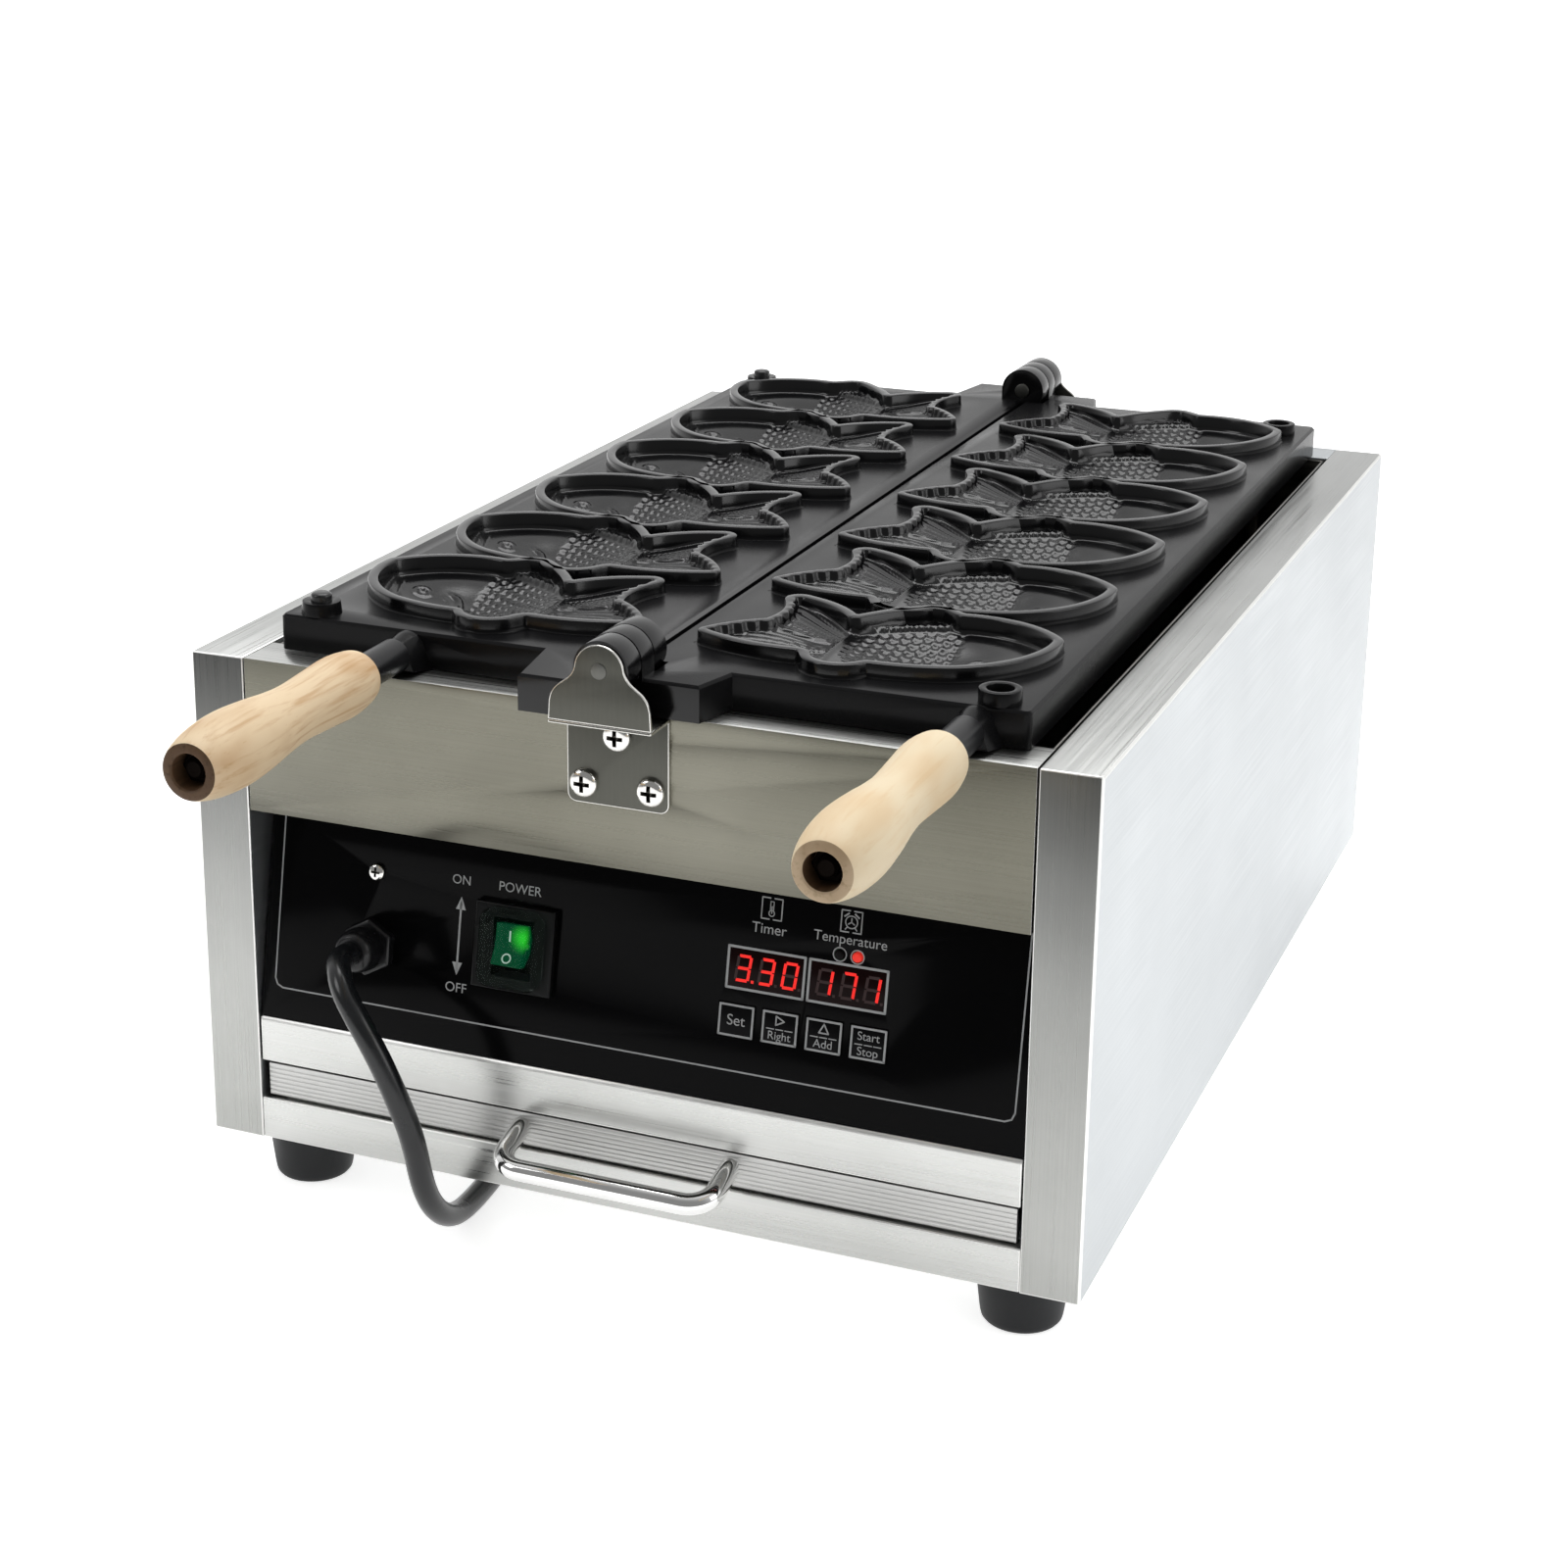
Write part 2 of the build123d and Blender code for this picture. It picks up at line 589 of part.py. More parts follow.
# ---------------------------------------------------------------- handles
# A steel rod screwed into the mould, with a collar up to the grip and a nut at its far end.
COLLAR_R = 7.4
ROD_R = 4.0
BOSS_FACE = PLATE_FRONT - BOSS_LONG
COUNTERBORE_R = 7.25
COUNTERBORE_DEEP = 12.0
for side, grip_x in GRIP_X.items():
    with BuildPart() as handle_rod:
        with BuildSketch(cross_plane(BOSS_FACE)):
            with Locations((grip_x, GRIP_Z)):
                Circle(COLLAR_R)
        extrude(amount=BOSS_FACE - GRIP_END)
        with BuildSketch(cross_plane(GRIP_END)):
            with Locations((grip_x, GRIP_Z)):
                Circle(ROD_R)
        extrude(amount=GRIP_END - GRIP_TIP - 4.0)
    save(handle_rod, f"{side}_handle_rod")

    with BuildPart() as grip:
        with BuildSketch(Plane(origin=(grip_x, 0, GRIP_Z), x_dir=(0, -1, 0), z_dir=(1, 0, 0))):
            with BuildLine():
                shoulder = ThreePointArc(
                    (-GRIP_END, 8.6), (-GRIP_END + 5.0, 11.4), (-GRIP_END + 17.0, 12.6)
                )
                waist = Spline(
                    shoulder @ 1,
                    (-GRIP_END + 52.0, 11.5),
                    (-GRIP_END + 80.0, 13.2),
                    (-GRIP_TIP - 30.0, 14.3),
                    (-GRIP_TIP - 12.0, 13.6),
                    (-GRIP_TIP - 1.5, 11.4),
                )
                Line(waist @ 1, (-GRIP_TIP, 10.0))
                Polyline(
                    (-GRIP_TIP, 10.0),
                    (-GRIP_TIP, COUNTERBORE_R),
                    (-GRIP_TIP - COUNTERBORE_DEEP, COUNTERBORE_R),
                    (-GRIP_TIP - COUNTERBORE_DEEP, ROD_R + 0.05),
                    (-GRIP_END, ROD_R + 0.05),
                    (-GRIP_END, 8.6),
                )
            make_face()
        revolve(axis=Axis((grip_x, 0, GRIP_Z), (0, 1, 0)))
    save(grip, f"{side}_grip")

    with BuildPart() as grip_nut:
        with BuildSketch(cross_plane(GRIP_TIP + COUNTERBORE_DEEP)):
            with Locations((grip_x, GRIP_Z)):
                RegularPolygon(6.6, 6)
                Circle(ROD_R + 0.05, mode=Mode.SUBTRACT)
        extrude(amount=5.0)
    save(grip_nut, f"{side}_grip_nut")

# ---------------------------------------------------------------- control panel
# A black sheet leaning back, with a lip below, and openings for what it carries.
GLAND_UV = (-122.0, 39.0)
PANEL_SCREW_UV = (-121.5, 71.5)
SWITCH_UV = (-53.5, 49.0)
SWITCH_BODY = (24.0, 30.0)
DISPLAY_SIZE = (33.0, 16.8)
DISPLAY_UV = {"timer_display": (59.3, 56.8), "temperature_display": (94.8, 56.8)}
INDICATOR_R = 2.8
INDICATOR_UV = {"power_indicator": (90.4, 69.2), "heat_indicator": (98.0, 69.2)}
KEY_SIZE = (15.8, 13.9)
KEY_V = 34.8
KEY_U = {"set_key": 48.4, "right_key": 67.6, "up_key": 86.7, "start_key": 105.9}
GLAND_BARREL_R = 7.8
with BuildPart() as control_panel:
    with BuildSketch(panel_face):
        with Locations((0, PANEL_LONG / 2)):
            Rectangle(INNER_W, PANEL_LONG)
        with Locations(GLAND_UV):
            Circle(GLAND_BARREL_R + 0.2, mode=Mode.SUBTRACT)
        with Locations(PANEL_SCREW_UV):
            Circle(1.7, mode=Mode.SUBTRACT)
        with Locations(SWITCH_UV):
            Rectangle(SWITCH_BODY[0] + 0.4, SWITCH_BODY[1] + 0.4, mode=Mode.SUBTRACT)
        with Locations(*DISPLAY_UV.values()):
            Rectangle(DISPLAY_SIZE[0] + 0.4, DISPLAY_SIZE[1] + 0.4, mode=Mode.SUBTRACT)
        with Locations(*INDICATOR_UV.values()):
            Circle(INDICATOR_R + 0.2, mode=Mode.SUBTRACT)
        with Locations(*[(u, KEY_V) for u in KEY_U.values()]):
            Rectangle(KEY_SIZE[0] + 0.5, KEY_SIZE[1] + 0.5, mode=Mode.SUBTRACT)
    extrude(amount=-PANEL_T)
    with BuildSketch(Plane.YZ.offset(-INNER_W / 2)):
        with Locations((PANEL_FOOT_Y + 6.8, BASE + 58.6 + SHEET / 2)):
            Rectangle(11.0, SHEET)
    extrude(amount=INNER_W)
save(control_panel, "control_panel")


def panel_spot(uv, height=0.0):
    """The panel's plane moved to a spot on it, and raised by height."""
    spot = panel_face.from_local_coords((uv[0], uv[1], height))
    return Plane(origin=spot, x_dir=panel_face.x_dir, z_dir=panel_face.z_dir)


pan_screw("panel_screw", panel_spot(PANEL_SCREW_UV), 3.8, 2.2, 1.55, 7.0)

# ---------------------------------------------------------------- mains switch
BEZEL = 37.0
BEZEL_T = 3.5
POCKET = (18.6, 25.6)
POCKET_DEEP = 9.0
AXLE_R = 1.5
AXLE_LONG = 20.4
rocker_pivot = panel_spot(SWITCH_UV).origin
rocker_axle = Plane(origin=rocker_pivot, x_dir=panel_face.y_dir, z_dir=(1, 0, 0)).location
with BuildPart() as switch_housing:
    with BuildSketch(panel_spot(SWITCH_UV)):
        Rectangle(BEZEL, BEZEL)
    extrude(amount=BEZEL_T)
    fillet(outer_rim(switch_housing, panel_face.z_dir), 1.0)
    with BuildSketch(panel_spot(SWITCH_UV)):
        Rectangle(*SWITCH_BODY)
    extrude(amount=-24.0)
    with BuildSketch(panel_spot(SWITCH_UV, BEZEL_T)):
        Rectangle(*POCKET)
    extrude(amount=-BEZEL_T - POCKET_DEEP, mode=Mode.SUBTRACT)
    with Locations(rocker_axle):
        Cylinder(AXLE_R + 0.05, AXLE_LONG + 0.2, mode=Mode.SUBTRACT)
save(switch_housing, "switch_housing")

# rocker on its axle, at rest with its upper half pressed in
ROCKER_TILT = 9.0
ROCKER_W = 17.6
ROCKER_HALF = 11.7
rocker_up = panel_face.y_dir.rotate(Axis((0, 0, 0), (1, 0, 0)), -ROCKER_TILT)
rocker_side = Plane(origin=rocker_pivot, x_dir=rocker_up, z_dir=(1, 0, 0))
with BuildPart() as power_rocker:
    with BuildSketch(rocker_side):
        with BuildLine():
            Polyline(
                (-ROCKER_HALF, -1.0),
                (-ROCKER_HALF, 4.6),
                (0, 2.8),
                (ROCKER_HALF, 4.6),
                (ROCKER_HALF, -1.0),
                (4.0, -5.0),
                (-4.0, -5.0),
                close=True,
            )
        make_face()
    extrude(amount=ROCKER_W / 2, both=True)
    with Locations(rocker_axle):
        Cylinder(AXLE_R, AXLE_LONG)
save(power_rocker, "power_rocker")

# clear boot over the rocker
BOOT = (29.0, 34.0)
BOOT_HIGH = 5.6
BOOT_T = 1.0
with BuildPart() as switch_boot:
    with BuildSketch(panel_spot(SWITCH_UV, BEZEL_T)):
        RectangleRounded(*BOOT, 6.0)
    extrude(amount=BOOT_HIGH)
    fillet(outer_rim(switch_boot, panel_face.z_dir), 2.5)
    with BuildSketch(panel_spot(SWITCH_UV, BEZEL_T)):
        RectangleRounded(BOOT[0] - 2 * BOOT_T, BOOT[1] - 2 * BOOT_T, 5.0)
    extrude(amount=BOOT_HIGH - BOOT_T, mode=Mode.SUBTRACT)
save(switch_boot, "switch_boot")

# ---------------------------------------------------------------- displays and indicators
BOARD_FACE = -7.0
for name, uv in DISPLAY_UV.items():
    with BuildPart() as display:
        with BuildSketch(panel_spot(uv, BOARD_FACE)):
            Rectangle(*DISPLAY_SIZE)
        extrude(amount=-BOARD_FACE)
    save(display, name)

for name, uv in INDICATOR_UV.items():
    with BuildPart() as indicator:
        with BuildSketch(panel_spot(uv, BOARD_FACE)):
            Circle(INDICATOR_R)
        extrude(amount=1.2 - BOARD_FACE)
        fillet(outer_rim(indicator, panel_face.z_dir), 1.1)
    save(indicator, name)

# ---------------------------------------------------------------- keys
# A cap through the panel, a collar that keeps it in, and a stem to the switch on the board.
KEY_PROUD = 0.8
for name, key_u in KEY_U.items():
    with BuildPart() as key:
        with BuildSketch(panel_spot((key_u, KEY_V), -PANEL_T - 0.2)):
            Rectangle(*KEY_SIZE)
        extrude(amount=PANEL_T + 0.2 + KEY_PROUD)
        with BuildSketch(panel_spot((key_u, KEY_V), -PANEL_T - 0.2)):
            Rectangle(KEY_SIZE[0] + 2.0, KEY_SIZE[1] + 2.0)
        extrude(amount=-1.0)
        with BuildSketch(panel_spot((key_u, KEY_V), -PANEL_T - 1.2)):
            Circle(2.0)
        extrude(amount=-3.4)
    save(key, name)

# ---------------------------------------------------------------- controller board
BOARD_U = (34.0, 120.0)
BOARD_V = (22.0, 90.0)
SPACER_R = 2.5
with BuildPart() as controller_board:
    with BuildSketch(panel_face.offset(BOARD_FACE)):
        with Locations((sum(BOARD_U) / 2, sum(BOARD_V) / 2)):
            Rectangle(BOARD_U[1] - BOARD_U[0], BOARD_V[1] - BOARD_V[0])
    extrude(amount=-1.6)
    with BuildSketch(panel_face.offset(BOARD_FACE)):
        with Locations((sum(BOARD_U) / 2, sum(BOARD_V) / 2)):
            with GridLocations(BOARD_U[1] - BOARD_U[0] - 6.0, BOARD_V[1] - BOARD_V[0] - 6.0, 2, 2):
                Circle(SPACER_R)
    extrude(amount=-BOARD_FACE - PANEL_T)
save(controller_board, "controller_board")

# ---------------------------------------------------------------- cable gland
GLAND_LONG = 19.0
GLAND_SINK = 2.0
GLAND_HEX_R = 12.6
GLAND_HEX_T = 5.0
gland_foot = panel_spot(GLAND_UV).origin
with BuildPart() as cable_gland:
    with BuildSketch(panel_spot(GLAND_UV)):
        RegularPolygon(GLAND_HEX_R, 6)
    extrude(amount=GLAND_HEX_T)
    with BuildSketch(Plane(origin=gland_foot, x_dir=panel_face.z_dir, z_dir=(1, 0, 0))):
        with BuildLine():
            Polyline((0, 0), (GLAND_HEX_T, 0), (GLAND_HEX_T, 9.6), (13.0, 9.4))
            ThreePointArc((13.0, 9.4), (17.4, 8.4), (GLAND_LONG, 6.6))
            Polyline(
                (GLAND_LONG, 6.6),
                (GLAND_LONG, CORD_R + 0.1),
                (GLAND_LONG - GLAND_SINK, CORD_R + 0.1),
                (GLAND_LONG - GLAND_SINK, 0),
                (GLAND_HEX_T, 0),
            )
        make_face()
    revolve(axis=Axis(gland_foot, panel_face.z_dir))
    with BuildSketch(panel_spot(GLAND_UV)):
        Circle(GLAND_BARREL_R)
    extrude(amount=-9.0)
save(cable_gland, "cable_gland")

with BuildPart() as gland_nut:
    with BuildSketch(panel_spot(GLAND_UV, -PANEL_T)):
        RegularPolygon(GLAND_HEX_R, 6)
        Circle(GLAND_BARREL_R + 0.02, mode=Mode.SUBTRACT)
    extrude(amount=-4.0)
save(gland_nut, "gland_nut")

# ---------------------------------------------------------------- crumb tray and its runners
RUNNER_OUT = 173.4
RUNNER_W = 12.0
for side, sx in (("left", -1), ("right", 1)):
    with BuildPart() as tray_runner:
        with BuildSketch(cross_plane(FRONT + 9.5)):
            with Locations((sx * (RUNNER_OUT - SHEET / 2), BASE + (SHEET + BASE_RAIL) / 2)):
                Rectangle(SHEET, BASE_RAIL - SHEET)
            with Locations((sx * (RUNNER_OUT - RUNNER_W / 2), BASE + BASE_RAIL - SHEET / 2)):
                Rectangle(RUNNER_W, SHEET)
            with Locations((sx * (RUNNER_OUT - RUNNER_W / 2), BASE + SHEET * 1.5)):
                Rectangle(RUNNER_W, SHEET)
        extrude(amount=-(BODY_D - 30.0))
    save(tray_runner, f"{side}_tray_runner")

TRAY_W = 332.0
TRAY_FRONT = FRONT + 6.0
TRAY_LONG = 500.0
TRAY_LOW = BASE + BASE_RAIL + 0.2
TRAY_HIGH = 13.0
TRAY_T = 1.0
with BuildPart() as crumb_tray:
    with Locations((0, TRAY_FRONT, TRAY_LOW)):
        Box(TRAY_W, TRAY_LONG, TRAY_HIGH, align=(Align.CENTER, Align.MIN, Align.MIN))
    fillet(crumb_tray.edges().filter_by(Axis.Z).group_by(Axis.Y)[-1], 6.0)
    offset(amount=-TRAY_T, openings=crumb_tray.faces().sort_by(Axis.Z)[-1])
save(crumb_tray, "crumb_tray")

FACE_LOW = BASE + 20.4
FACE_HIGH = 15.1
FACE_T = 3.0
FACE_W = 344.0
GROOVES = 6
GROOVE = 0.7
groove_gap = FACE_HIGH / (GROOVES + 1)
with BuildPart() as tray_front:
    with BuildSketch(Plane.YZ.offset(-FACE_W / 2)):
        with Locations((TRAY_FRONT - FACE_T / 2, FACE_LOW + FACE_HIGH / 2)):
            Rectangle(FACE_T, FACE_HIGH)
        with Locations((TRAY_FRONT - FACE_T, FACE_LOW + FACE_HIGH / 2)):
            with GridLocations(1.0, groove_gap, 1, GROOVES):
                Rectangle(GROOVE, GROOVE, rotation=45, mode=Mode.SUBTRACT)
    extrude(amount=FACE_W)
save(tray_front, "tray_front")

BOW_R = 4.5
BOW_HALF = 48.0
BOW_OUT = 30.0
BOW_Z = BASE + 28.5
with BuildPart() as tray_handle:
    with BuildLine():
        FilletPolyline(
            (-BOW_HALF, TRAY_FRONT - FACE_T, BOW_Z),
            (-BOW_HALF, TRAY_FRONT - FACE_T - BOW_OUT, BOW_Z),
            (BOW_HALF, TRAY_FRONT - FACE_T - BOW_OUT, BOW_Z),
            (BOW_HALF, TRAY_FRONT - FACE_T, BOW_Z),
            radius=11.0,
        )
    with BuildSketch(cross_plane(TRAY_FRONT - FACE_T)):
        with Locations((-BOW_HALF, BOW_Z)):
            Circle(BOW_R)
    sweep()
save(tray_handle, "tray_handle")

# ---------------------------------------------------------------- mains lead
COIL_R = 54.0
COIL_AT = (-28.0, BACK + 85.0)
COIL_TURNS = 2.75
COIL_RISE = 10.6
CORD_LOW = 5.3
COIL_STUB = 42.0

# out of the gland, down the front, under the front edge and back along the floor
cord_route = [
    panel_face.from_local_coords((*GLAND_UV, GLAND_LONG - GLAND_SINK)),
    (-122.0, -237.8, 130.8),
    (-116.1, -248.3, 128.8),
    (-110.6, -254.5, 123.9),
    (-103.9, -257.8, 116.7),
    (-96.7, -259.2, 107.0),
    (-90.4, -259.2, 95.8),
    (-84.4, -258.3, 81.7),
    (-78.6, -256.0, 63.4),
    (-79.0, -248.0, 36.5),
    (-79.2, -236.5, 19.8),
    (-80.0, -219.5, 8.8),
    (-82.0, -197.0, 5.4),
    (-85.0, -167.0, 5.3),
    (-91.0, -124.0, 5.3),
    (-90.0, -59.0, 5.3),
    (-79.0, 36.0, 5.3),
    (-74.0, 156.0, 5.3),
    (-81.5, 271.0, 5.3),
    (-83.0, 341.0, 5.3),
    (-82.0, COIL_AT[1] - COIL_STUB, CORD_LOW),
]


def route_radii(points):
    """For each corner of a route, the largest arc that its two runs leave room for."""
    runs = [Vector(*b) - Vector(*a) for a, b in zip(points, points[1:])]
    radii = []
    for before, after in zip(runs, runs[1:]):
        half_turn = radians(before.get_angle(after)) / 2
        radii.append(0.45 * min(before.length, after.length) / tan(half_turn))
    return radii


def cord_tube(name, points):
    """A tube along straight runs joined by tangent arcs."""
    points = [tuple(point) for point in points]
    radii = route_radii(points)
    start = Vector(*points[0])
    with BuildPart() as tube:
        with BuildLine() as path:
            FilletPolyline(*points, radius=radii)
        with BuildSketch(Plane(origin=start, z_dir=Vector(*points[1]) - start)):
            Circle(CORD_R)
        sweep()
    length = sum(edge.length for edge in path.edges())
    filled = tube.part.volume / (pi * CORD_R**2 * length)
    print(name, "radii", [round(r, 1) for r in radii])
    print(name, "length", round(length, 1), "share of a full round tube", round(filled, 3))
    save(tube, name)
    return length


lead_length = cord_tube("cord", cord_route)

# the put-away length, as one ring of its outer shape with the ends that enter and leave it
coil_top = CORD_LOW + COIL_TURNS * COIL_RISE
with BuildPart() as cord_coil:
    with BuildSketch(Plane(origin=(*COIL_AT, 0), x_dir=(1, 0, 0), z_dir=(0, -1, 0))):
        with Locations((COIL_R, (0.1 + coil_top + CORD_R) / 2)):
            RectangleRounded(2 * CORD_R, coil_top + CORD_R - 0.1, CORD_R - 0.05)
    revolve(axis=Axis((*COIL_AT, 0), (0, 0, 1)))
    with BuildSketch(cross_plane(COIL_AT[1] - COIL_STUB)):
        with Locations((COIL_AT[0] - COIL_R, CORD_LOW)):
            Circle(CORD_R)
    extrude(amount=-COIL_STUB)
    with BuildSketch(Plane.YZ.offset(COIL_AT[0] - COIL_STUB)):
        with Locations((COIL_AT[1] - COIL_R, coil_top)):
            Circle(CORD_R)
    extrude(amount=COIL_STUB)
save(cord_coil, "cord_coil")
coil_length = 2 * pi * COIL_R * COIL_TURNS

# from the top of the coil down to the plug
PLUG_R = 18.4
PLUG_Z = PLUG_R + 0.2
tail_x = COIL_AT[0] - COIL_STUB
tail_y = COIL_AT[1] - COIL_R
PLUG_X = tail_x - 80.0
tail_route = [
    (tail_x, tail_y, coil_top),
    (tail_x - 12.0, tail_y, coil_top),
    (tail_x - 26.0, tail_y, coil_top - 2.5),
    (tail_x - 40.0, tail_y, coil_top - 7.9),
    (tail_x - 54.0, tail_y, coil_top - 13.5),
    (tail_x - 68.0, tail_y, PLUG_Z),
    (PLUG_X, tail_y, PLUG_Z),
]
tail_length = cord_tube("cord_tail", tail_route)
print("whole lead", round(lead_length + coil_length + tail_length), "mm")

# ---------------------------------------------------------------- plug
# Two round pins, lying on the floor, with a tapered strain relief.
PLUG_LONG = 62.0
PLUG_PITCH = 19.0
with BuildPart() as plug:
    with BuildSketch(Plane(origin=tail_route[-1], x_dir=(-1, 0, 0), z_dir=(0, -1, 0))):
        with BuildLine():
            Polyline((0, 0), (0, CORD_R + 0.6), (30.0, 8.5), (34.0, 12.0), (40.0, PLUG_R - 1.5))
            Polyline((40.0, PLUG_R - 1.5), (42.0, PLUG_R), (PLUG_LONG, PLUG_R), (PLUG_LONG, 0), (0, 0))
        make_face()
    revolve(axis=Axis(tail_route[-1], (1, 0, 0)))
    with BuildSketch(Plane(origin=(PLUG_X - PLUG_LONG, tail_y, PLUG_Z), z_dir=(-1, 0, 0))):
        with Locations((-PLUG_PITCH / 2, 0), (PLUG_PITCH / 2, 0)):
            Circle(2.4)
    extrude(amount=19.0)
save(plug, "plug")
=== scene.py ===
import json
from math import atan2, cos, hypot, pi, radians, sin

import bpy
import numpy as np
from mathutils import Matrix, Vector
from mathutils.geometry import delaunay_2d_cdt


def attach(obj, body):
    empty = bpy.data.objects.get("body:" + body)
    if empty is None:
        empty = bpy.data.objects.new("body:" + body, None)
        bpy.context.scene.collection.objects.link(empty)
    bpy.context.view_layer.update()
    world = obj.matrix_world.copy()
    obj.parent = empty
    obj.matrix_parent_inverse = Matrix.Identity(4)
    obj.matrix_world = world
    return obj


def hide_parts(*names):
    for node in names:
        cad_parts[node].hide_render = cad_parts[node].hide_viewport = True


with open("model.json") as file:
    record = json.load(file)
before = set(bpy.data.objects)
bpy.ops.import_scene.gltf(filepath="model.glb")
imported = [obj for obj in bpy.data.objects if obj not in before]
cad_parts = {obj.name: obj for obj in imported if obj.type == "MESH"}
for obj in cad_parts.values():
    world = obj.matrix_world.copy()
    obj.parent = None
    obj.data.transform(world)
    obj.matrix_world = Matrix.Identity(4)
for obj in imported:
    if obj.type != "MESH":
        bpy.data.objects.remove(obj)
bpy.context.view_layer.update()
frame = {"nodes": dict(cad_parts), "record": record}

# ---------------------------------------------------------------- camera
# The eye stands to the right of the machine and above it, and looks down on the moulds and the
# control panel. The frame is square, and the lens is shifted a little.
bpy.ops.object.camera_add(
    location=(0.458667, -1.220028, 0.619663),
    rotation=(radians(72.88296), radians(-0.36537), radians(22.40909)),
)
camera = bpy.context.object
camera.name = "camera"
camera.data.lens = 66.5612
camera.data.sensor_width = 36.0
camera.data.shift_x = 0.033861
camera.data.shift_y = -0.091723
bpy.context.scene.camera = camera

# ---------------------------------------------------------------- studio
# A white floor that runs out to the horizon, a white surround that is darker on the side of the
# camera, and three large soft lamps.
bpy.context.scene.view_settings.view_transform = "Standard"
SURROUND_LIGHT = 0.62
FRONT_LEVEL = 0.27
FLOOR_NEAR, FLOOR_FAR = 0.45, 1.3
FLOOR_LIFT = (0.74, 0.75)
WHITE = (1.0, 1.0, 1.0, 1.0)


def deselect_all():
    """Nothing is selected, so that the next operator works on its own piece only."""
    if bpy.context.object and bpy.context.object.mode != "OBJECT":
        bpy.ops.object.mode_set(mode="OBJECT")
    bpy.ops.object.select_all(action="DESELECT")


def principled(finish):
    """The Principled shader of a material."""
    return finish.node_tree.nodes["Principled BSDF"]


def new_finish(name):
    """A material with its node tree."""
    finish = bpy.data.materials.new(name)
    finish.use_nodes = True
    return finish


def add_node(tree, kind, sockets=None, **fields):
    """A node with its fields set; a socket takes a value, or a link from another node's output."""
    node = tree.nodes.new("ShaderNode" + kind)
    for field, value in fields.items():
        setattr(node, field, value)
    for label, value in (sockets or {}).items():
        if isinstance(value, bpy.types.NodeSocket):
            tree.links.new(value, node.inputs[label])
        else:
            node.inputs[label].default_value = value
    return node.outputs


def seen_directly(tree):
    """A value of 1 on rays from the camera and on those that metal and glass send on."""
    rays = add_node(tree, "LightPath")
    seen = rays["Is Camera Ray"]
    for sent_on in ("Is Glossy Ray", "Is Transmission Ray"):
        seen = add_node(tree, "Math", {0: seen, 1: rays[sent_on]}, operation="MAXIMUM")[0]
    return seen


surround = bpy.data.worlds.new("surround")
bpy.context.scene.world = surround
surround.use_nodes = True
air = surround.node_tree
air_seen = {"Value": seen_directly(air), "To Min": SURROUND_LIGHT, "To Max": 1.0}
air_seen = add_node(air, "MapRange", air_seen)["Result"]
air_way = add_node(air, "SeparateXYZ", {"Vector": add_node(air, "TexCoord")["Generated"]})
air_level = {"Value": air_way["Y"], "From Min": -0.7, "From Max": 0.45, "To Min": FRONT_LEVEL}
air_level = add_node(air, "MapRange", air_level, interpolation_type="SMOOTHSTEP")["Result"]
air_total = add_node(air, "Math", {0: air_seen, 1: air_level}, operation="MULTIPLY")[0]
air.nodes["Background"].inputs["Color"].default_value = WHITE
air.links.new(air_total, air.nodes["Background"].inputs["Strength"])

deselect_all()
bpy.ops.mesh.primitive_plane_add(size=80.0)
floor = bpy.context.object
floor.name = "floor"
floor_white = new_finish("floor_white")
floor_tree, floor_shader = floor_white.node_tree, principled(floor_white)
for label, value in (
    ("Base Color", (0.86, 0.86, 0.86, 1.0)),
    ("Roughness", 1.0),
    ("Specular IOR Level", 0.0),
    ("Emission Color", WHITE),
):
    floor_shader.inputs[label].default_value = value
floor_place = add_node(floor_tree, "TexCoord")["Object"]
away = add_node(floor_tree, "VectorMath", {0: floor_place}, operation="LENGTH")["Value"]
lift = {"Value": away, "From Min": FLOOR_NEAR, "From Max": FLOOR_FAR}
lift.update({"To Min": FLOOR_LIFT[0], "To Max": FLOOR_LIFT[1]})
lift = add_node(floor_tree, "MapRange", lift, interpolation_type="SMOOTHSTEP")["Result"]
lift_seen = add_node(floor_tree, "Math", {0: seen_directly(floor_tree), 1: lift}, operation="MULTIPLY")[0]
floor_tree.links.new(lift_seen, floor_shader.inputs["Emission Strength"])
floor.data.materials.append(floor_white)


def soft_lamp(name, place, width, height, power, target=(0.0, 0.05, 0.15)):
    """A rectangular studio lamp at place, turned towards the machine."""
    deselect_all()
    bpy.ops.object.light_add(type="AREA", location=place)
    lamp = bpy.context.object
    lamp.name = name
    lamp.data.shape = "RECTANGLE"
    lamp.data.size, lamp.data.size_y = width, height
    lamp.data.energy = power
    lamp.rotation_euler = (Vector(target) - Vector(place)).to_track_quat("-Z", "Y").to_euler()


soft_lamp("lamp_over", (-0.2, 0.6, 2.2), 1.7, 1.1, 30.0)
soft_lamp("lamp_right", (2.4, -0.2, 1.3), 1.3, 1.5, 13.0)
soft_lamp("lamp_left", (-1.7, -1.5, 1.8), 0.9, 1.1, 12.0)

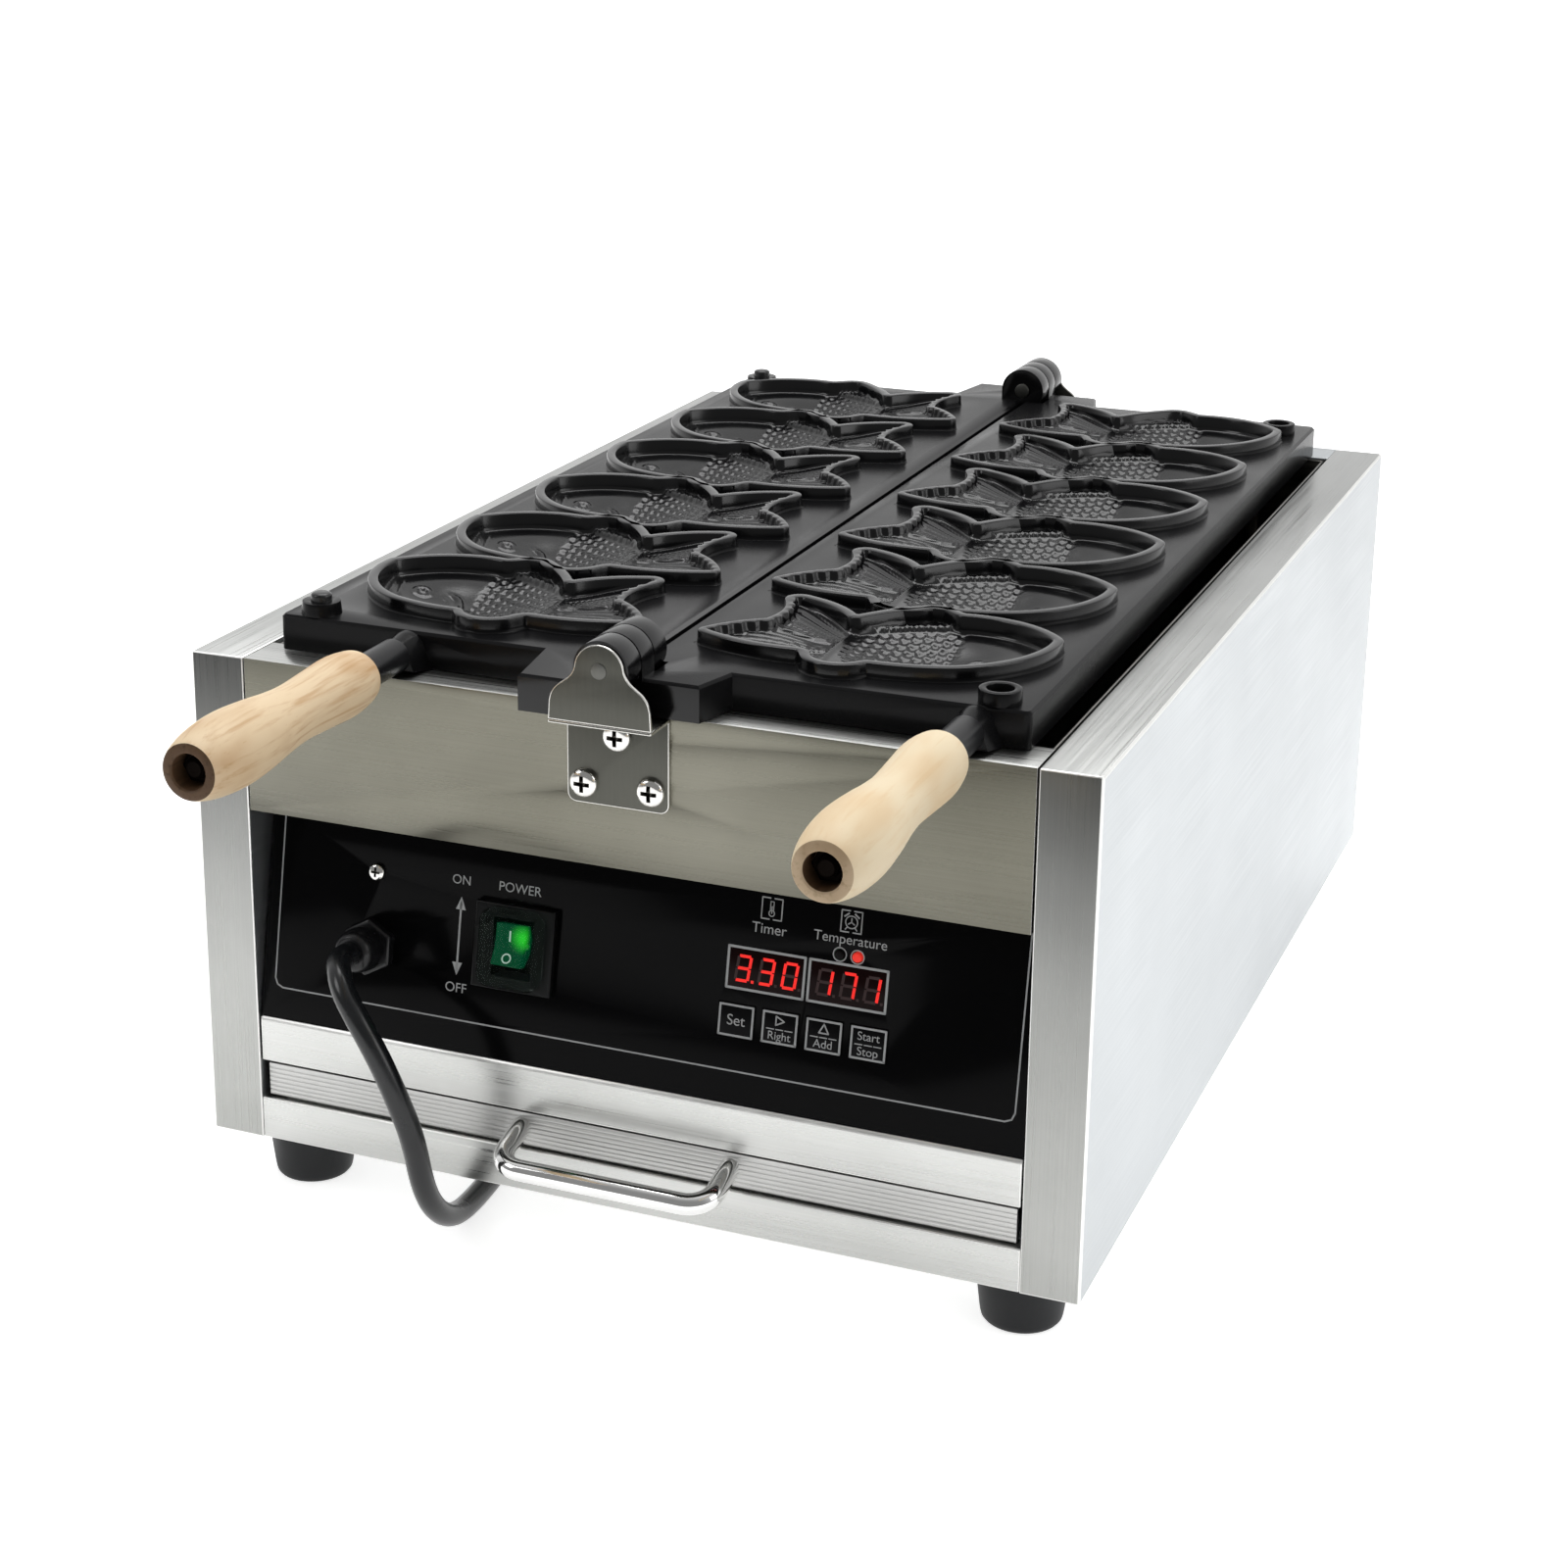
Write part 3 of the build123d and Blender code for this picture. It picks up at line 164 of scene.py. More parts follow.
# ---------------------------------------------------------------- mains lead
# Round black rubber lead with a moulded plug: out of the gland, down in front of the machine, back
# under it between the feet, and coiled behind it. It lies loose.
MM = 0.001
CORD_D = 10.4 * MM
GLAND_MOUTH = (-0.1220, -0.22652, 0.12858)
COIL_MIDDLE = (-0.028, 0.436)
COIL_R = 0.054
COIL_LOW = 0.0053
COIL_RISE = 0.0106
COIL_TURNS = 2.75
TURN_POINTS = 16
run_out = [
    GLAND_MOUTH,
    (-0.1220, -0.2378, 0.1308),
    (-0.1161, -0.2483, 0.1288),
    (-0.1106, -0.2545, 0.1239),
    (-0.1039, -0.2578, 0.1167),
    (-0.0967, -0.2592, 0.1070),
    (-0.0904, -0.2592, 0.0958),
    (-0.0844, -0.2583, 0.0817),
    (-0.0786, -0.2560, 0.0634),
    (-0.0790, -0.2480, 0.0365),
    (-0.0792, -0.2365, 0.0198),
    (-0.0800, -0.2195, 0.0088),
    (-0.0820, -0.1970, 0.0054),
    (-0.0850, -0.1670, 0.0053),
    (-0.0910, -0.1240, 0.0053),
    (-0.0900, -0.0590, 0.0053),
    (-0.0790, 0.0360, 0.0053),
    (-0.0740, 0.1560, 0.0053),
    (-0.0815, 0.2710, 0.0053),
    (-0.0830, 0.3410, 0.0053),
    (-0.0820, 0.3940, 0.0053),
]
coil_turns = []
for step in range(int(COIL_TURNS * TURN_POINTS) + 1):
    angle = 2 * pi * step / TURN_POINTS
    coil_x, coil_y = COIL_MIDDLE[0] - COIL_R * cos(angle), COIL_MIDDLE[1] + COIL_R * sin(angle)
    coil_turns.append((coil_x, coil_y, COIL_LOW + COIL_RISE * step / TURN_POINTS))
run_to_plug = [
    (-0.0700, 0.3820, 0.03445),
    (-0.0820, 0.3820, 0.03445),
    (-0.0960, 0.3820, 0.03195),
    (-0.1100, 0.3820, 0.02655),
    (-0.1240, 0.3820, 0.02095),
    (-0.1380, 0.3820, 0.0186),
    (-0.1500, 0.3820, 0.0186),
]
lead_line = bpy.data.curves.new("mains_lead", "CURVE")
lead_line.dimensions = "3D"
lead_line.bevel_depth = CORD_D / 2
lead_line.bevel_resolution = 6
lead_line.resolution_u = 8
lead_line.use_fill_caps = True
lead_points = run_out + coil_turns + run_to_plug
lead_run = lead_line.splines.new("NURBS")
lead_run.points.add(len(lead_points) - 1)
for point, place in zip(lead_run.points, lead_points):
    point.co = (*place, 1.0)
lead_run.order_u = 3
lead_run.use_endpoint_u = True
mains_lead = bpy.data.objects.new("mains_lead", lead_line)
bpy.context.scene.collection.objects.link(mains_lead)


def effect_group(name, **settings):
    """A node group that puts out colour, roughness and normal; returns its tree and its two ends."""
    group = bpy.data.node_groups.new(name, "ShaderNodeTree")
    for label, value in settings.items():
        kind = "Float" if isinstance(value, float) else {3: "Vector", 4: "Color"}[len(value)]
        socket = group.interface.new_socket(
            label.replace("_", " "), in_out="INPUT", socket_type="NodeSocket" + kind
        )
        socket.default_value = value
    for label, kind in (("Color", "Color"), ("Roughness", "Float"), ("Normal", "Vector")):
        group.interface.new_socket(label, in_out="OUTPUT", socket_type="NodeSocket" + kind)
    return group, group.nodes.new("NodeGroupInput").outputs, group.nodes.new("NodeGroupOutput").inputs


def group_finish(name, group, **settings):
    """A material whose colour, roughness and normal come from an effect group."""
    finish = new_finish(name)
    effect = finish.node_tree.nodes.new("ShaderNodeGroup")
    effect.node_tree = group
    for label, value in settings.items():
        socket = effect.inputs[label.replace("_", " ")]
        socket.default_value = (*value, 1.0) if socket.type == "RGBA" else value
    for label, target in (("Color", "Base Color"), ("Roughness", "Roughness"), ("Normal", "Normal")):
        finish.node_tree.links.new(effect.outputs[label], principled(finish).inputs[target])
    return finish


def fine_noise(tree, vector, scale, detail=3.0):
    """Noise of a given fineness on a vector."""
    return add_node(tree, "TexNoise", {"Vector": vector, "Scale": scale, "Detail": detail})["Fac"]


def mixed(tree, share, first, second):
    """A colour between two others."""
    return add_node(tree, "Mix", {"Factor": share, "A": first, "B": second}, data_type="RGBA")["Result"]


def gloss_and_relief(tree, ends, unevenness, height, depth):
    """Roughness between the two gloss inputs, and a bump of depth metres, into the group's outputs."""
    inward, outward = ends
    rough = {"Value": unevenness, "From Min": 0.3, "From Max": 0.7}
    rough.update({"To Min": inward["Gloss Low"], "To Max": inward["Gloss High"]})
    tree.links.new(add_node(tree, "MapRange", rough)["Result"], outward["Roughness"])
    bump = {"Distance": depth, "Height": height, "Strength": inward["Relief"]}
    tree.links.new(add_node(tree, "Bump", bump)["Normal"], outward["Normal"])


# moulded surface: a faint unevenness in colour, gloss and height
moulded_skin, skin_in, skin_out = effect_group(
    "moulded_skin",
    Dark=(0.01, 0.01, 0.01, 1.0),
    Light=(0.02, 0.02, 0.02, 1.0),
    Grain=900.0,
    Patches=30.0,
    Gloss_Low=0.35,
    Gloss_High=0.55,
    Relief=0.15,
)
here = add_node(moulded_skin, "TexCoord")["Object"]
grain = fine_noise(moulded_skin, here, skin_in["Grain"], 2.0)
patches = fine_noise(moulded_skin, here, skin_in["Patches"], 4.0)
moulded_skin.links.new(mixed(moulded_skin, patches, skin_in["Dark"], skin_in["Light"]), skin_out["Color"])
gloss_and_relief(moulded_skin, (skin_in, skin_out), patches, grain, 0.0002)


def skin_finish(name, dark, light, gloss, relief=0.15, grain=900.0, patches=30.0, specular=0.3):
    """A moulded, cast or coated material on the moulded skin group."""
    gloss_low, gloss_high = gloss
    finish = group_finish(
        name,
        moulded_skin,
        Dark=dark,
        Light=light,
        Grain=grain,
        Patches=patches,
        Gloss_Low=gloss_low,
        Gloss_High=gloss_high,
        Relief=relief,
    )
    principled(finish).inputs["Specular IOR Level"].default_value = specular
    return finish


lead_rubber = skin_finish(
    "lead_rubber", (0.006, 0.007, 0.008), (0.012, 0.013, 0.015), (0.20, 0.30), 0.08, 900.0, 60.0, 0.45
)
lead_line.materials.append(lead_rubber)
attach(mains_lead, "cabinet")
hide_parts("cord", "cord_coil", "cord_tail")

# the material slot and the moving body of every node
body_of = {}
for body, members in frame["record"]["behaviour"]["bodies"].items():
    body_of.update(dict.fromkeys(members, body))


def picked(piece):
    """The piece alone is selected, so that the next operator works on it only."""
    deselect_all()
    piece.select_set(True)
    bpy.context.view_layer.objects.active = piece


def edit_whole():
    """Into edit mode with the whole mesh selected."""
    bpy.ops.object.mode_set(mode="EDIT")
    bpy.ops.mesh.select_all(action="SELECT")


def faces_outwards():
    """All faces turned outwards, and out of edit mode."""
    bpy.ops.mesh.select_all(action="SELECT")
    bpy.ops.mesh.normals_make_consistent(inside=False)
    bpy.ops.object.mode_set(mode="OBJECT")


def settle(piece, name, finish, node, stands_for=True):
    """Puts a piece's place into its mesh, gives it its finish and hangs it where node hangs."""
    picked(piece)
    piece.name = piece.data.name = name
    bpy.ops.object.transform_apply(location=True, rotation=True, scale=True)
    if finish:
        piece.data.materials.clear()
        piece.data.materials.append(finish)
    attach(piece, body_of[node])
    if stands_for:
        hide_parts(node)
    return piece


def smoothed(piece, angle=35.0):
    """Round stretches are shaded round, edges stay sharp."""
    picked(piece)
    bpy.ops.object.shade_smooth_by_angle(angle=radians(angle))
    return piece


def turned(profile, foot, heading, sides=48):
    """A turned piece: a disc drawn out ring by ring. profile is (distance, radius) in mm."""
    deselect_all()
    bpy.ops.mesh.primitive_circle_add(
        vertices=sides, radius=profile[0][1] * MM, fill_type="NGON", location=(0, 0, profile[0][0] * MM)
    )
    piece = bpy.context.object
    bpy.ops.object.transform_apply(location=True)
    edit_whole()
    for (low, narrow), (high, wide) in zip(profile, profile[1:]):
        bpy.ops.mesh.extrude_region_move(TRANSFORM_OT_translate={"value": (0, 0, (high - low) * MM)})
        bpy.ops.transform.resize(
            value=(wide / narrow, wide / narrow, 1.0), center_override=(0, 0, high * MM)
        )
    faces_outwards()
    piece.rotation_mode = "QUATERNION"
    piece.rotation_quaternion = Vector(heading).to_track_quat("Z", "Y")
    piece.location = foot
    bpy.ops.object.transform_apply(location=True, rotation=True)
    return smoothed(piece)


def joined(pieces):
    """Several pieces made one."""
    deselect_all()
    for piece in pieces:
        piece.select_set(True)
    bpy.context.view_layer.objects.active = pieces[0]
    bpy.ops.object.join()
    return bpy.context.object


# plug: ribbed strain relief, round body with a waist for the fingers, two nickel pins
PIN_HALF_GAP = 9.5
PIN_FROM = 61.8
PLUG_FOOT = (-0.150, 0.382, 0.0186)
plug_rubber = skin_finish(
    "plug_rubber", (0.010, 0.010, 0.011), (0.018, 0.018, 0.019), (0.38, 0.50), relief=0.25
)
relief_profile = [(0.0, 5.6), (2.0, 5.8)]
for rib in range(6):
    rib_from = 3.0 + 4.5 * rib
    rib_r = 6.2 + 0.45 * rib
    relief_profile += [(rib_from, rib_r), (rib_from + 0.5, rib_r + 0.5)]
    relief_profile += [(rib_from + 2.4, rib_r + 0.5), (rib_from + 2.9, rib_r - 0.5)]
relief_profile += [(31.0, 9.5), (34.0, 12.0), (37.5, 15.6), (40.0, 17.2), (42.5, 18.0), (45.0, 18.2)]
relief_profile += [(50.0, 17.7), (56.0, 17.9), (60.5, 17.9), (61.5, 17.6), (62.0, 16.8), (62.0, 0.6)]
plug_body = turned(relief_profile, PLUG_FOOT, (-1, 0, 0))
pins = []
for pin_side in (-PIN_HALF_GAP, PIN_HALF_GAP):
    pin_foot = (PLUG_FOOT[0] - PIN_FROM * MM, PLUG_FOOT[1] + pin_side * MM, PLUG_FOOT[2])
    pins.append(turned([(0, 2.4), (17.6, 2.4), (18.6, 2.1), (19.0, 1.4)], pin_foot, (-1, 0, 0), 24))
settle(plug_body, "mains_plug", plug_rubber, "plug")


def metal_finish(name, tint, rough, relief=0.0, grain=700.0):
    """A smooth plated or bright metal with faint unevenness."""
    shade = tuple(0.86 * channel for channel in tint)
    finish = skin_finish(name, shade, tint, rough, relief, grain, 55.0, 0.5)
    principled(finish).inputs["Metallic"].default_value = 1.0
    return finish


nickel = metal_finish("nickel_pins", (0.72, 0.70, 0.66), (0.16, 0.24))
plug_pins = settle(joined(pins), "plug_pins", nickel, "plug", False)

# ---------------------------------------------------------------- cabinet sheet metal
# Brushed stainless sheet 1.2 mm thick, folded and spot welded: two side panels, a front above and
# a rail below the control panel, a rear wall and a base pan.
SHEET_EDGE = 0.45
FOLD_EDGE = 0.8
HEM_Z = 183.0
HEM_RAISED = 3.0
END_GAP = Matrix.Scale(0.9955, 4, (1, 0, 0))

# brushed sheet: fine scratches one way over faint clouds; the colour can darken upwards as painted shade
brushed_sheet, brushed_in, brushed_out = effect_group(
    "brushed_sheet",
    Dark=(0.3, 0.3, 0.28, 1.0),
    Light=(0.5, 0.5, 0.48, 1.0),
    Along=(8.0, 1400.0, 1400.0),
    Gloss_Low=0.25,
    Gloss_High=0.42,
    Relief=0.06,
    Top_Shade=1.0,
)
here = add_node(brushed_sheet, "TexCoord")["Object"]
stretch = add_node(brushed_sheet, "VectorMath", {0: here, 1: brushed_in["Along"]}, operation="MULTIPLY")
scratches = fine_noise(brushed_sheet, stretch["Vector"], 1.0, 2.0)
clouds = fine_noise(brushed_sheet, here, 7.0, 5.0)
tone = add_node(brushed_sheet, "Math", {0: scratches, 1: 0.35, 2: clouds}, operation="MULTIPLY_ADD")
spread = add_node(brushed_sheet, "MapRange", {"Value": tone[0], "From Min": 0.42, "From Max": 0.95})
toned = mixed(brushed_sheet, spread["Result"], brushed_in["Dark"], brushed_in["Light"])
# painted shade: the colour is scaled down towards the top by Top Shade
height = add_node(brushed_sheet, "SeparateXYZ", {0: here})["Z"]
fade = {"Value": height, "From Min": 0.05, "From Max": 0.25}
fade.update({"To Min": 1.0, "To Max": brushed_in["Top Shade"]})
fade = add_node(brushed_sheet, "MapRange", fade)["Result"]
faded = add_node(brushed_sheet, "VectorMath", {0: toned, "Scale": fade}, operation="SCALE")
brushed_sheet.links.new(faded["Vector"], brushed_out["Color"])
gloss_and_relief(brushed_sheet, (brushed_in, brushed_out), scratches, scratches, 0.0001)


def brushed_finish(name, dark, light, along, gloss=(0.27, 0.42), relief=0.08, top_shade=1.0):
    """Brushed stainless; along stretches the scratches, least in the direction of the brushing, and
    top_shade paints shade that darkens it upwards.
    """
    gloss_low, gloss_high = gloss
    finish = group_finish(
        name,
        brushed_sheet,
        Dark=dark,
        Light=light,
        Along=along,
        Gloss_Low=gloss_low,
        Gloss_High=gloss_high,
        Relief=relief,
        Top_Shade=top_shade,
    )
    principled(finish).inputs["Metallic"].default_value = 1.0
    return finish


def node_copy(node):
    """A copy of a node's mesh with its triangles merged into whole faces."""
    piece = frame["nodes"][node].copy()
    piece.data = piece.data.copy()
    piece.parent = None
    bpy.context.scene.collection.objects.link(piece)
    picked(piece)
    edit_whole()
    bpy.ops.mesh.remove_doubles(threshold=0.02 * MM)
    bpy.ops.mesh.dissolve_limited(angle_limit=radians(0.5))
    bpy.ops.object.mode_set(mode="OBJECT")
    return piece


def rounded(piece, edge, steps=2):
    """Edges rounded as folding, casting or moulding leaves them; edge is in mm."""
    picked(piece)
    rounding = piece.modifiers.new("rounding", "BEVEL")
    rounding.width = edge * MM
    rounding.segments = steps
    rounding.limit_method = "ANGLE"
    rounding.angle_limit = radians(32.0)
    bpy.ops.object.modifier_apply(modifier="rounding")
    return piece


def dressed(node, name, finish, edge=SHEET_EDGE, steps=2):
    """A node's own shape with rounded edges and its real finish."""
    return settle(smoothed(rounded(node_copy(node), edge, steps)), name, finish, node)


# painted light and shade: copies of one stainless sheet by the way a face looks; lit sides, rail and upward
# faces, shaded khaki front, shaded posts that darken upwards
side_lit_steel = brushed_finish(
    "side_lit_steel", (0.425, 0.447, 0.46), (0.535, 0.557, 0.57), (1200.0, 9.0, 1200.0), (0.30, 0.46)
)
front_shaded_steel = brushed_finish(
    "front_shaded_steel", (0.125, 0.121, 0.096), (0.215, 0.209, 0.172), (9.0, 1200.0, 1200.0), (0.24, 0.40)
)
post_shaded_steel = brushed_finish(
    "post_shaded_steel", (0.31, 0.315, 0.30), (0.49, 0.495, 0.48), (1200.0, 1200.0, 9.0), (0.24, 0.40), 0.08, 0.34
)
rail_lit_steel = brushed_finish(
    "rail_lit_steel", (0.44, 0.445, 0.43), (0.64, 0.645, 0.63), (9.0, 1200.0, 1200.0), (0.24, 0.38)
)
flange_lit_steel = brushed_finish(
    "flange_lit_steel", (0.35, 0.355, 0.345), (0.52, 0.525, 0.515), (1200.0, 9.0, 1200.0), (0.26, 0.40)
)
# bright metal for the rounded folds of the sheet, a painted highlight
fold_highlight_steel = metal_finish("fold_highlight_steel", (0.88, 0.88, 0.86), (0.34, 0.46))


def painted_fold_highlights(piece):
    """The rounded edges of a sheet get a bright metal, a painted highlight along the folds."""
    piece.data.materials.append(fold_highlight_steel)
    for face in piece.data.polygons:
        if max(abs(part) for part in face.normal) < 0.96:
            face.material_index = len(piece.data.materials) - 1


for side in ("left", "right"):
    panel = dressed(f"{side}_side_panel", f"{side}_side", side_lit_steel, FOLD_EDGE)
    panel.data.materials.append(post_shaded_steel)
    panel.data.materials.append(flange_lit_steel)
    # painted shade on the faces that look forward, painted light on those that look up
    for face in panel.data.polygons:
        if face.normal.y < -0.6:
            face.material_index = 1
        elif face.normal.z > 0.6:
            face.material_index = 2
    painted_fold_highlights(panel)
upper_front = dressed("upper_front_panel", "upper_front", front_shaded_steel, FOLD_EDGE)
upper_front.data.transform(END_GAP)
upper_front.data.materials.append(rail_lit_steel)
# painted light on the faces of the upper front that look up
for face in upper_front.data.polygons:
    face.material_index = int(face.normal.z > 0.35)
painted_fold_highlights(upper_front)
for vertex in upper_front.data.vertices:
    if vertex.co.z < HEM_Z * MM:
        vertex.co.z += HEM_RAISED * MM
lower_rail = dressed("lower_front_rail", "lower_rail", rail_lit_steel, FOLD_EDGE)
lower_rail.data.transform(END_GAP)
painted_fold_highlights(lower_rail)
painted_fold_highlights(dressed("base_pan", "base_sheet", rail_lit_steel, FOLD_EDGE))
dressed("rear_panel", "rear_wall", side_lit_steel)

# ---------------------------------------------------------------- feet
# Four black rubber feet, moulded as cones that widen upwards, each screwed up into the base pan.
# The edge that stands on the worktop is rounded.
FOOT_X = 0.1675
FOOT_Y = {"front": -0.188, "back": 0.320}
foot_profile = [(0.0, 12.0), (0.1, 14.6), (0.7, 16.0), (1.8, 16.9), (3.6, 17.35), (6.0, 17.7)]
foot_profile += [(18.0, 19.15), (26.6, 20.2), (27.5, 20.35), (27.9, 20.0), (28.0, 12.0)]
foot_rubber = skin_finish(
    "foot_rubber", (0.012, 0.013, 0.014), (0.022, 0.023, 0.025), (0.45, 0.62), relief=0.3, grain=1200.0
)
for end, foot_y in FOOT_Y.items():
    for side, foot_x in (("left", -FOOT_X), ("right", FOOT_X)):
        foot = turned(foot_profile, (foot_x, foot_y, 0.0), (0, 0, 1), 64)
        settle(foot, f"{end}_{side}_rubber_foot", foot_rubber, f"{end}_{side}_foot")

# ---------------------------------------------------------------- hinge brackets
# Folded steel plate 1.5 mm thick: a foot screwed to the cabinet, a shelf and a bell-shaped ear that
# holds the hinge pin. The pin's end is riveted over in the ear.
HINGE_Z = 273.0
BRACKET_ENDS = (("front", -219.0, -1), ("back", 351.0, 1))
PLATE_T = 1.5
EAR_OUT = 19.0
EAR_FOOT = -22.5
EAR_R = 10.8
FOOT_HALF = 22.5
FOOT_LOW = 210.1
FOOT_CORNER = 4.0
CUT_FACE = 30.0
bracket_steel = brushed_finish(
    "bracket_steel", (0.060, 0.060, 0.052), (0.105, 0.105, 0.092), (500.0, 500.0, 40.0), (0.34, 0.46), 0.03
)
# bright metal for the narrow cut edges of the brackets, a painted highlight
edge_highlight_steel = metal_finish("edge_highlight_steel", (0.70, 0.69, 0.66), (0.18, 0.30))
pin_steel = metal_finish("pin_steel", (0.13, 0.13, 0.12), (0.32, 0.45), relief=0.2)


def rounded_line(corners, steps=5):
    """A smooth line through a few points."""
    padded = [corners[0]] + corners + [corners[-1]]
    line = []
    for before, here, there, after in zip(padded, padded[1:], padded[2:], padded[3:]):
        for n in range(steps):
            t = n / steps
            spot = []
            for b, h, a, c in zip(before, here, there, after):
                bend = (2 * b - 5 * h + 4 * a - c) * t**2 + (3 * h - b - 3 * a + c) * t**3
                spot.append(0.5 * (2 * h + (a - b) * t + bend))
            line.append(tuple(spot))
    return line + [corners[-1]]


def cut_plate(corners, face_y, thick_y):
    """A plate cut to an (x, z) outline in mm, from face_y on by thick_y."""
    outline_mesh = bpy.data.meshes.new("plate")
    outline_mesh.from_pydata([(x * MM, face_y * MM, z * MM) for x, z in corners], [], [range(len(corners))])
    plate = bpy.data.objects.new("plate", outline_mesh)
    bpy.context.scene.collection.objects.link(plate)
    picked(plate)
    edit_whole()
    bpy.ops.mesh.extrude_region_move(TRANSFORM_OT_translate={"value": (0, thick_y * MM, 0)})
    faces_outwards()
    return plate


ear_bends = [(10.8, 0.6), (11.6, -1.4), (13.2, -3.6), (15.8, -5.7), (18.8, -8.0), (21.0, -11.0)]
ear_side = rounded_line(ear_bends + [(22.0, -14.5)]) + [(22.5, EAR_FOOT)]
ear_arc = [(EAR_R * cos(radians(angle)), EAR_R * sin(radians(angle))) for angle in range(168, 6, -6)]
ear_outline = [(-x, z + HINGE_Z) for x, z in reversed(ear_side)] + [(x, z + HINGE_Z) for x, z in ear_arc]
ear_outline += [(x, z + HINGE_Z) for x, z in ear_side]
foot_top = HINGE_Z + EAR_FOOT
foot_outline = [(-FOOT_HALF, foot_top), (FOOT_HALF, foot_top)]
for corner_x, first in ((FOOT_HALF - FOOT_CORNER, 0), (FOOT_CORNER - FOOT_HALF, -90)):
    for angle in range(0, 91, 15):
        way = radians(first - angle)
        corner = (corner_x + FOOT_CORNER * cos(way), FOOT_LOW + FOOT_CORNER + FOOT_CORNER * sin(way))
        foot_outline.append(corner)
shelf_outline = [(-FOOT_HALF, foot_top - PLATE_T), (FOOT_HALF, foot_top - PLATE_T)]
shelf_outline += [(FOOT_HALF, foot_top), (-FOOT_HALF, foot_top)]
for end, face_y, out in BRACKET_ENDS:
    ear = cut_plate(ear_outline, face_y + out * (EAR_OUT - PLATE_T), out * PLATE_T)
    foot_plate = cut_plate(foot_outline, face_y, out * PLATE_T)
    shelf = cut_plate(shelf_outline, face_y, out * EAR_OUT)
    bracket = smoothed(rounded(joined([ear, foot_plate, shelf]), 0.5, 2))
    settle(bracket, f"{end}_bracket", bracket_steel, f"{end}_hinge_bracket")
    # painted highlight on the narrow cut edges of the plate
    bracket.data.materials.append(edge_highlight_steel)
    for face in bracket.data.polygons:
        if abs(face.normal.y) < 0.93 and face.area < CUT_FACE * MM * MM:
            face.material_index = 1
    dressed(f"{end}_hinge_pin", f"{end}_pivot", pin_steel, 0.35)

# ---------------------------------------------------------------- screws
# Bright plated pan-head screws with a cross recess. Three hold each bracket to the sheet of the
# cabinet, and a smaller one holds the control panel.
screw_chrome = metal_finish("screw_chrome", (0.80, 0.79, 0.76), (0.08, 0.16))
# dark metal in the cross recess, painted shade
recess_shade_metal = metal_finish("recess_shade_metal", (0.11, 0.105, 0.095), (0.25, 0.4))


def cross_screw(name, head_r, head_h, seat, heading):
    """A pan-head screw: a turned head with its cross recess cut by two crossed wedges, and painted shade in
    the recess.
    """
    shares = [(-6.0, 0.45), (0.0, 0.45), (0.02, 0.96)]
    profile = [(low, share * head_r) for low, share in shares]
    shares = [(0.22, 1.0), (0.45, 0.985), (0.70, 0.90), (0.88, 0.74), (0.97, 0.50), (1.0, 0.15)]
    profile += [(up * head_h, share * head_r) for up, share in shares]
    screw = turned(profile, (0, 0, 0), (0, 0, 1), 40)
    screw.data.materials.append(screw_chrome)
    screw.data.materials.append(recess_shade_metal)
    middle = (0, 0, 0.75 * head_h * MM)
    for turn in (0.0, pi / 2):
        deselect_all()
        bpy.ops.mesh.primitive_cube_add(size=1.0, location=middle, rotation=(0, 0, turn))
        wedge = bpy.context.object
        wedge.scale = (1.36 * head_r * MM, 0.34 * head_r * MM, 1.1 * head_h * MM)
        wedge.data.materials.append(recess_shade_metal)
        bpy.ops.object.transform_apply(location=True, rotation=True, scale=True)
        bpy.ops.object.mode_set(mode="EDIT")
        bpy.ops.mesh.select_all(action="DESELECT")
        bpy.ops.object.mode_set(mode="OBJECT")
        for face in wedge.data.polygons:
            face.select = face.normal.z < -0.5
        bpy.ops.object.mode_set(mode="EDIT")
        bpy.ops.transform.resize(value=(0.45, 0.45, 1.0), center_override=(0, 0, 0))
        bpy.ops.object.mode_set(mode="OBJECT")
        recess = screw.modifiers.new("recess", "BOOLEAN")
        recess.operation = "DIFFERENCE"
        recess.object = wedge
        recess.material_mode = "TRANSFER"
        picked(screw)
        bpy.ops.object.modifier_apply(modifier="recess")
        bpy.data.objects.remove(wedge)
    screw.rotation_mode = "QUATERNION"
    screw.rotation_quaternion = Vector(heading).to_track_quat("Z", "Y")
    screw.location = seat
    picked(screw)
    bpy.ops.object.transform_apply(location=True, rotation=True)
    screw.name = name
    return smoothed(screw, 40.0)


def copied(piece, name, shift=(0, 0, 0)):
    """A copy with its own mesh, moved by shift."""
    other = piece.copy()
    other.data = piece.data.copy()
    bpy.context.scene.collection.objects.link(other)
    other.data.transform(Matrix.Translation(Vector(shift)))
    other.name = name
    return other


BRACKET_SCREWS = ((0.0, 0.2405), (-0.0148, 0.2190), (0.0148, 0.2190))
for end, face_y, out in BRACKET_ENDS:
    seat_y = (face_y + out * PLATE_T) * MM
    first_screw = cross_screw("screw", 6.2, 3.4, (0, seat_y, 0), (0, out, 0))
    for count, (screw_x, screw_z) in enumerate(BRACKET_SCREWS, start=1):
        screw = copied(first_screw, "screw", (screw_x, 0, screw_z))
        settle(screw, f"{end}_screw_{count}", None, f"{end}_bracket_screw_{count}")
    bpy.data.objects.remove(first_screw)

